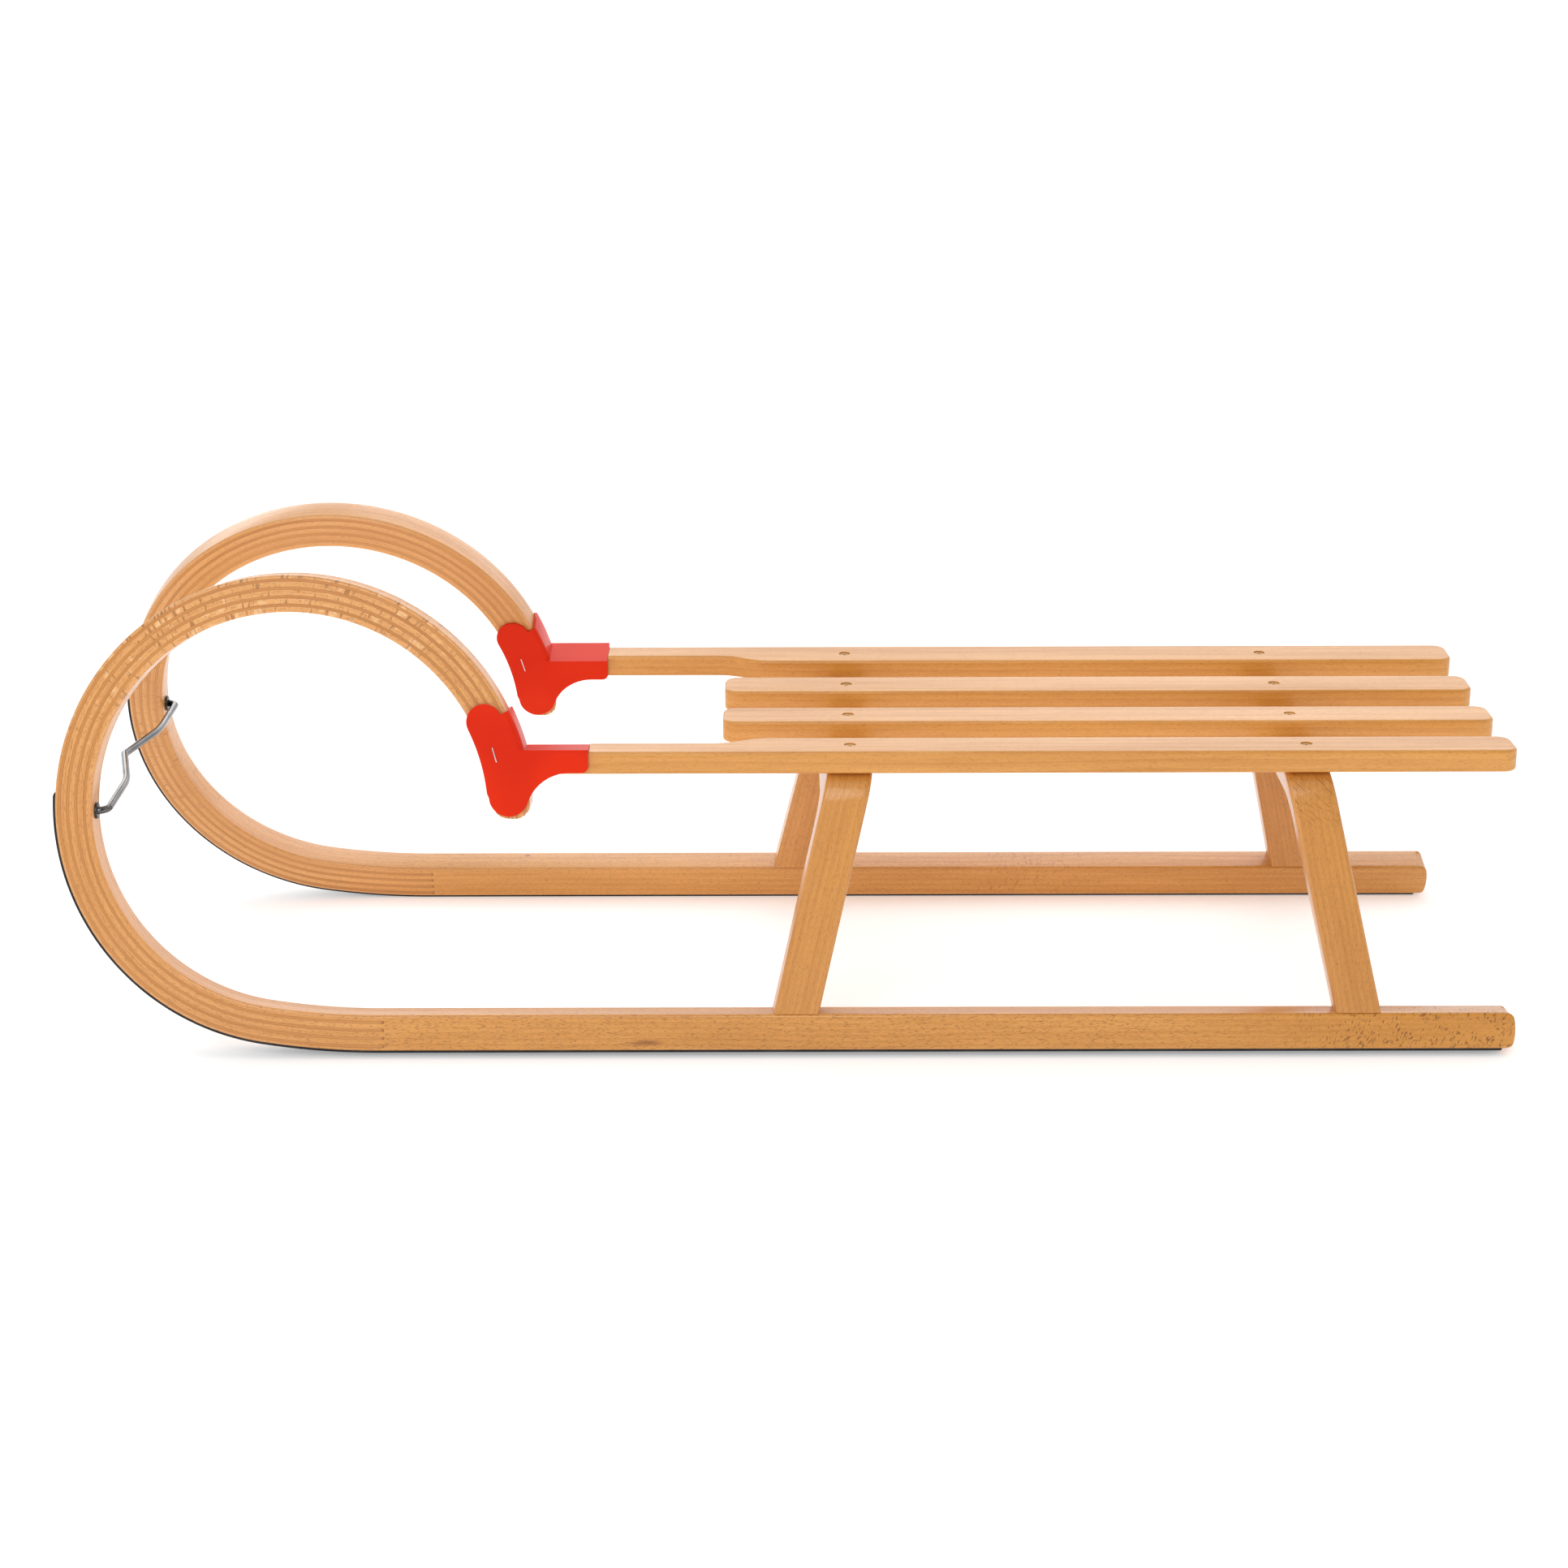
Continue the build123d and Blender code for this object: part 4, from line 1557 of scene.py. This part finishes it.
@dataclass
class SteelShoe:
    """Strip under one runner and up its horn, with countersunk screws."""

    side: Side
    finishes: Finishes
    shape: BarShape = BAR
    start: float = 0.010
    end_heading: float = math.radians(95.0)
    station_count: int = 220
    edge: float = 0.0005
    edge_share: float = 0.3
    rear_ease: float = 0.0012
    rear_share: float = 0.5
    front_ease: float = 0.0025
    front_share: float = 0.35
    screw: Screw = Screw(
        head_radius=0.0037, head_depth=0.002, shank_radius=0.0017, length=0.004, recess_depth=0.0011
    )
    screw_places: tuple[float, ...] = (0.035, 0.23, 0.43, 0.63, 0.83, 1.0, 1.12)
    screw_proud: float = 0.00015
    screw_turn: float = 0.9
    end_margin: float = 0.014

    @property
    def end(self) -> float:
        """Distance along the bar to the strip's upper end."""
        return self.shape.along_at(self.end_heading)

    def section(self, mesh: PieceMesh, along: float, thickness: float) -> list[int]:
        """Ring of the strip with eased outer edges.

        Args:
            mesh: mesh that takes the ring.
            along: distance along the bar.
            thickness: thickness of the strip there.

        Returns:
            Indices of the ring.
        """
        skin = -self.shape.half_height
        near = (self.shape.width - self.shape.shoe_width) / 2
        edge = min(self.edge, thickness / 2)
        cut = edge * self.edge_share
        rows = [
            (skin, near),
            (skin - thickness + edge, near),
            (skin - thickness + cut, near + cut),
            (skin - thickness, near + edge),
        ]
        rows += [(offset, self.shape.width - depth) for offset, depth in reversed(rows)]
        places = [self.shape.point(along, offset, depth, self.side) for offset, depth in rows]
        return mesh.ring(places, [Vector((along, offset, depth)) for offset, depth in rows])

    def strip(self) -> None:
        """Build the strip, eased thinner at both ends."""
        full, start, end = self.shape.shoe_thickness, self.start, self.end
        stations = [(start, full * self.rear_share), (start + self.rear_ease, full)]
        for step in range(1, self.station_count):
            stations.append((start + (end - start) * step / self.station_count, full))
        stations += [(end - self.front_ease, full), (end, full * self.front_share)]
        mesh = PieceMesh()
        mesh.rod([self.section(mesh, along, thickness) for along, thickness in stations], mesh.fan)
        tag = self.side.tag
        piece = mesh.build(f"steel_shoe_{tag}", self.finishes.shoe, Smoothing.FLAT_STEEL)
        settle(piece, "shoe_steel", f"runner_shoe_{tag}")

    def screws(self) -> None:
        """Build the screws along the strip's middle."""
        mesh = PieceMesh()
        skin = -self.shape.half_height - self.shape.shoe_thickness
        depth = self.shape.width / 2
        for index, along in enumerate((*self.screw_places, self.end - self.end_margin)):
            middle = self.shape.point(along, skin, depth, self.side)
            outward = (middle - self.shape.point(along, 0.0, depth, self.side)).normalized()
            self.screw.add(mesh, Spot(middle + outward * self.screw_proud, outward, self.screw_turn * index))
        piece = mesh.build(f"shoe_screws_{self.side.tag}", self.finishes.shoe_screw, Smoothing.SCREW)
        settle(piece, "shoe_steel")

    def build(self) -> None:
        """Build the strip and its screws."""
        self.strip()
        self.screws()


@dataclass
class DrawBar:
    """Kinked draw bar between the horns and the washers at its ends."""

    finishes: Finishes
    shape: BarShape = BAR
    bore_radius: float = 0.0032
    washer_radius: float = 0.0065
    washer_thickness: float = 0.002
    outer_rim: float = 0.0007
    bore_rim: float = 0.00035
    steps: int = 48

    def washer_profile(self) -> list[tuple[float, float]]:
        """Section of a washer with rounded outer and bore rims.

        Returns:
            Points (radius, height) from the bore outwards and back.
        """
        outer = [
            (self.washer_radius - run, self.washer_thickness - drop)
            for run, drop in quarter_round(self.outer_rim)
        ]
        bore = [
            (self.bore_radius + run, self.washer_thickness - drop)
            for run, drop in reversed(quarter_round(self.bore_rim))
        ]
        return [(self.bore_radius, 0.0), (self.washer_radius, 0.0), *outer, *bore]

    def washer(self, side: Side) -> None:
        """Turn one washer on the horn's concave face.

        Args:
            side: half of the sled.
        """
        shape = self.shape
        concave = shape.loop_radius - shape.half_height
        drop = concave - math.sqrt(concave**2 - self.washer_radius**2)
        seat = shape.place(shape.loop_centre + Vector((concave - drop, 0.0)), shape.width / 2, side)
        spot = Spot(seat, Vector((-1.0, 0.0, 0.0)))
        mesh = PieceMesh()
        rings = [spot.ring(mesh, [radius] * self.steps, height) for radius, height in self.washer_profile()]
        mesh.tube(rings + rings[:1])
        piece = mesh.build(f"turned_washer_{side.tag}", self.finishes.washer, Smoothing.FLAT_STEEL)
        settle(piece, "washer_steel", f"draw_bar_washer_{side.tag}")

    def build(self) -> None:
        """Build the bar and both washers."""
        piece = node_piece("draw_bar", "kinked_draw_bar", self.finishes.bar, Smoothing.ROD)
        settle(piece, "bar_steel", "draw_bar")
        for side in Side:
            self.washer(side)


@dataclass(frozen=True)
class Softbox:
    """Soft light: its place and aim in metres, its two widths, and its power in watts."""

    name: str
    place: Triple
    aim: Triple
    size: tuple[float, float]
    power: float

    def build(self) -> None:
        """Hang the light and turn it to its aim."""
        data = bpy.data.lights.new(self.name, "AREA")
        data.shape = "ELLIPSE"
        data.size, data.size_y = self.size
        data.energy = self.power
        light = bpy.data.objects.new(self.name, data)
        turn = (Vector(self.aim) - Vector(self.place)).to_track_quat("-Z", "Y")
        light.matrix_world = Matrix.Translation(self.place) @ turn.to_matrix().to_4x4()
        bpy.context.scene.collection.objects.link(light)


@dataclass
class Studio:
    """Camera, floor and soft light."""

    camera_place: Triple = (-0.0042, 2.3464, 0.9772)
    camera_reach: float = 100.0
    yaw: float = 0.003
    pitch: float = 0.3336
    roll: float = 0.0034
    focal_pixels: float = 3670.0
    image_pixels: float = 1932.0
    sensor: float = 36.0
    floor_reach: float = 30.0
    floor_colour: Colour = (0.90, 0.90, 0.90, 1.0)
    floor_shade: Colour = (0.92, 0.92, 0.92, 1.0)
    floor_cells: Triple = (1.5, 1.5, 1.5)
    floor_detail: float = 2.0
    floor_roughness: float = 0.9
    floor_specular: float = 0.1
    floor_glow: float = 0.3
    world_strength: float = 1.06
    front_shade: Colour = (0.2, 0.2, 0.2, 1.0)
    sky_share: float = 0.8
    sky_window: tuple[float, float] = (0.0, 0.8)
    side_window: tuple[float, float] = (0.5, 0.9)
    softboxes: tuple[Softbox, ...] = (
        Softbox("key_softbox", (0.5, 2.6, 1.9), aim=(0.0, 0.0, 0.12), size=(2.4, 2.4), power=41.0),
        Softbox("rear_softbox", (-0.6, -2.2, 1.7), aim=(0.0, 0.0, 0.15), size=(2.4, 2.4), power=13.0),
        Softbox("rear_strip", (1.15, -2.4, 1.12), aim=(0.4, 0.0, 0.25), size=(2.1, 0.8), power=7.0),
    )

    def build_camera(self) -> None:
        """Set the camera at the photograph's view."""
        data = bpy.data.cameras.new("photo_camera")
        data.sensor_width = self.sensor
        data.lens = self.sensor * self.focal_pixels / self.image_pixels
        data.clip_end = self.camera_reach
        forward = Vector((
            math.sin(self.yaw) * math.cos(self.pitch),
            -math.cos(self.yaw) * math.cos(self.pitch),
            -math.sin(self.pitch),
        ))
        right = Vector((-math.cos(self.yaw), -math.sin(self.yaw), 0.0))
        down = forward.cross(right)
        across = right * math.cos(self.roll) + down * math.sin(self.roll)
        below = down * math.cos(self.roll) - right * math.sin(self.roll)
        turn = Matrix((across, -below, -forward)).transposed().to_4x4()
        camera = bpy.data.objects.new("photo_camera", data)
        camera.matrix_world = Matrix.Translation(self.camera_place) @ turn
        bpy.context.scene.collection.objects.link(camera)
        bpy.context.scene.camera = camera

    def build_floor(self) -> None:
        """Lay a plain pale floor."""
        made, graph, shader = bare_material("pale_floor")
        clouds = SoftClouds.use(graph, Where=graph.where(), Cells=self.floor_cells, Detail=self.floor_detail)
        graph.feed(shader, {
            "Base Color": graph.mix(clouds["Noise"], self.floor_colour, self.floor_shade),
            "Roughness": self.floor_roughness,
            "Specular IOR Level": self.floor_specular,
            "Emission Color": WHITE,
            "Emission Strength": self.floor_glow,
        })
        reach = self.floor_reach
        corners = [(-reach, -reach, 0.0), (reach, -reach, 0.0), (reach, reach, 0.0), (-reach, reach, 0.0)]
        mesh = bpy.data.meshes.new("studio_floor")
        mesh.from_pydata(corners, [], [range(len(corners))])
        mesh.materials.append(made)
        linked(mesh)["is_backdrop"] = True

    def build_world(self) -> None:
        """Set surroundings that are pale above, behind and beside the sled, and darker in front."""
        world = bpy.data.worlds.new("pale_studio")
        world.use_nodes = True
        graph = Graph(world.node_tree)
        x, y, z = graph.split(graph.add("ShaderNodeTexCoord", {}).outputs["Generated"])
        rearward = graph.math("MULTIPLY", y, -1.0)
        sky = graph.window(graph.math("MULTIPLY_ADD", z, self.sky_share, rearward), *self.sky_window)
        sides = graph.window(graph.math("ABSOLUTE", x), *self.side_window)
        bright = graph.math("MAXIMUM", sky, sides)
        graph.feed(world.node_tree.nodes["Background"], {
            "Color": graph.mix(bright, self.front_shade, WHITE),
            "Strength": self.world_strength,
        })
        bpy.context.scene.world = world
        bpy.context.scene.view_settings.view_transform = "Standard"

    def build(self) -> None:
        """Build the studio."""
        self.build_camera()
        self.build_floor()
        self.build_world()
        for softbox in self.softboxes:
            softbox.build()


def write_sizes() -> None:
    """Work out the CAD box and the dressed sled's box, without keeping them."""
    boxes = {"cad": cad_box, "visual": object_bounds()}
    {name: [list(corner) for corner in box] for name, box in boxes.items()}


def main() -> None:
    """Build the studio and every piece of the sled."""
    logging.basicConfig(level=logging.INFO, format="%(name)s %(message)s")
    Studio().build()
    finishes = Finishes()
    for side in Side:
        HornRunner(side, finishes).build()
        HornCap(side, finishes).build()
        SteelShoe(side, finishes).build()
    SeatBridges(finishes).build()
    SeatSlats(finishes).build()
    DrawBar(finishes).build()
    write_sizes()


if __name__ == "__main__":
    main()
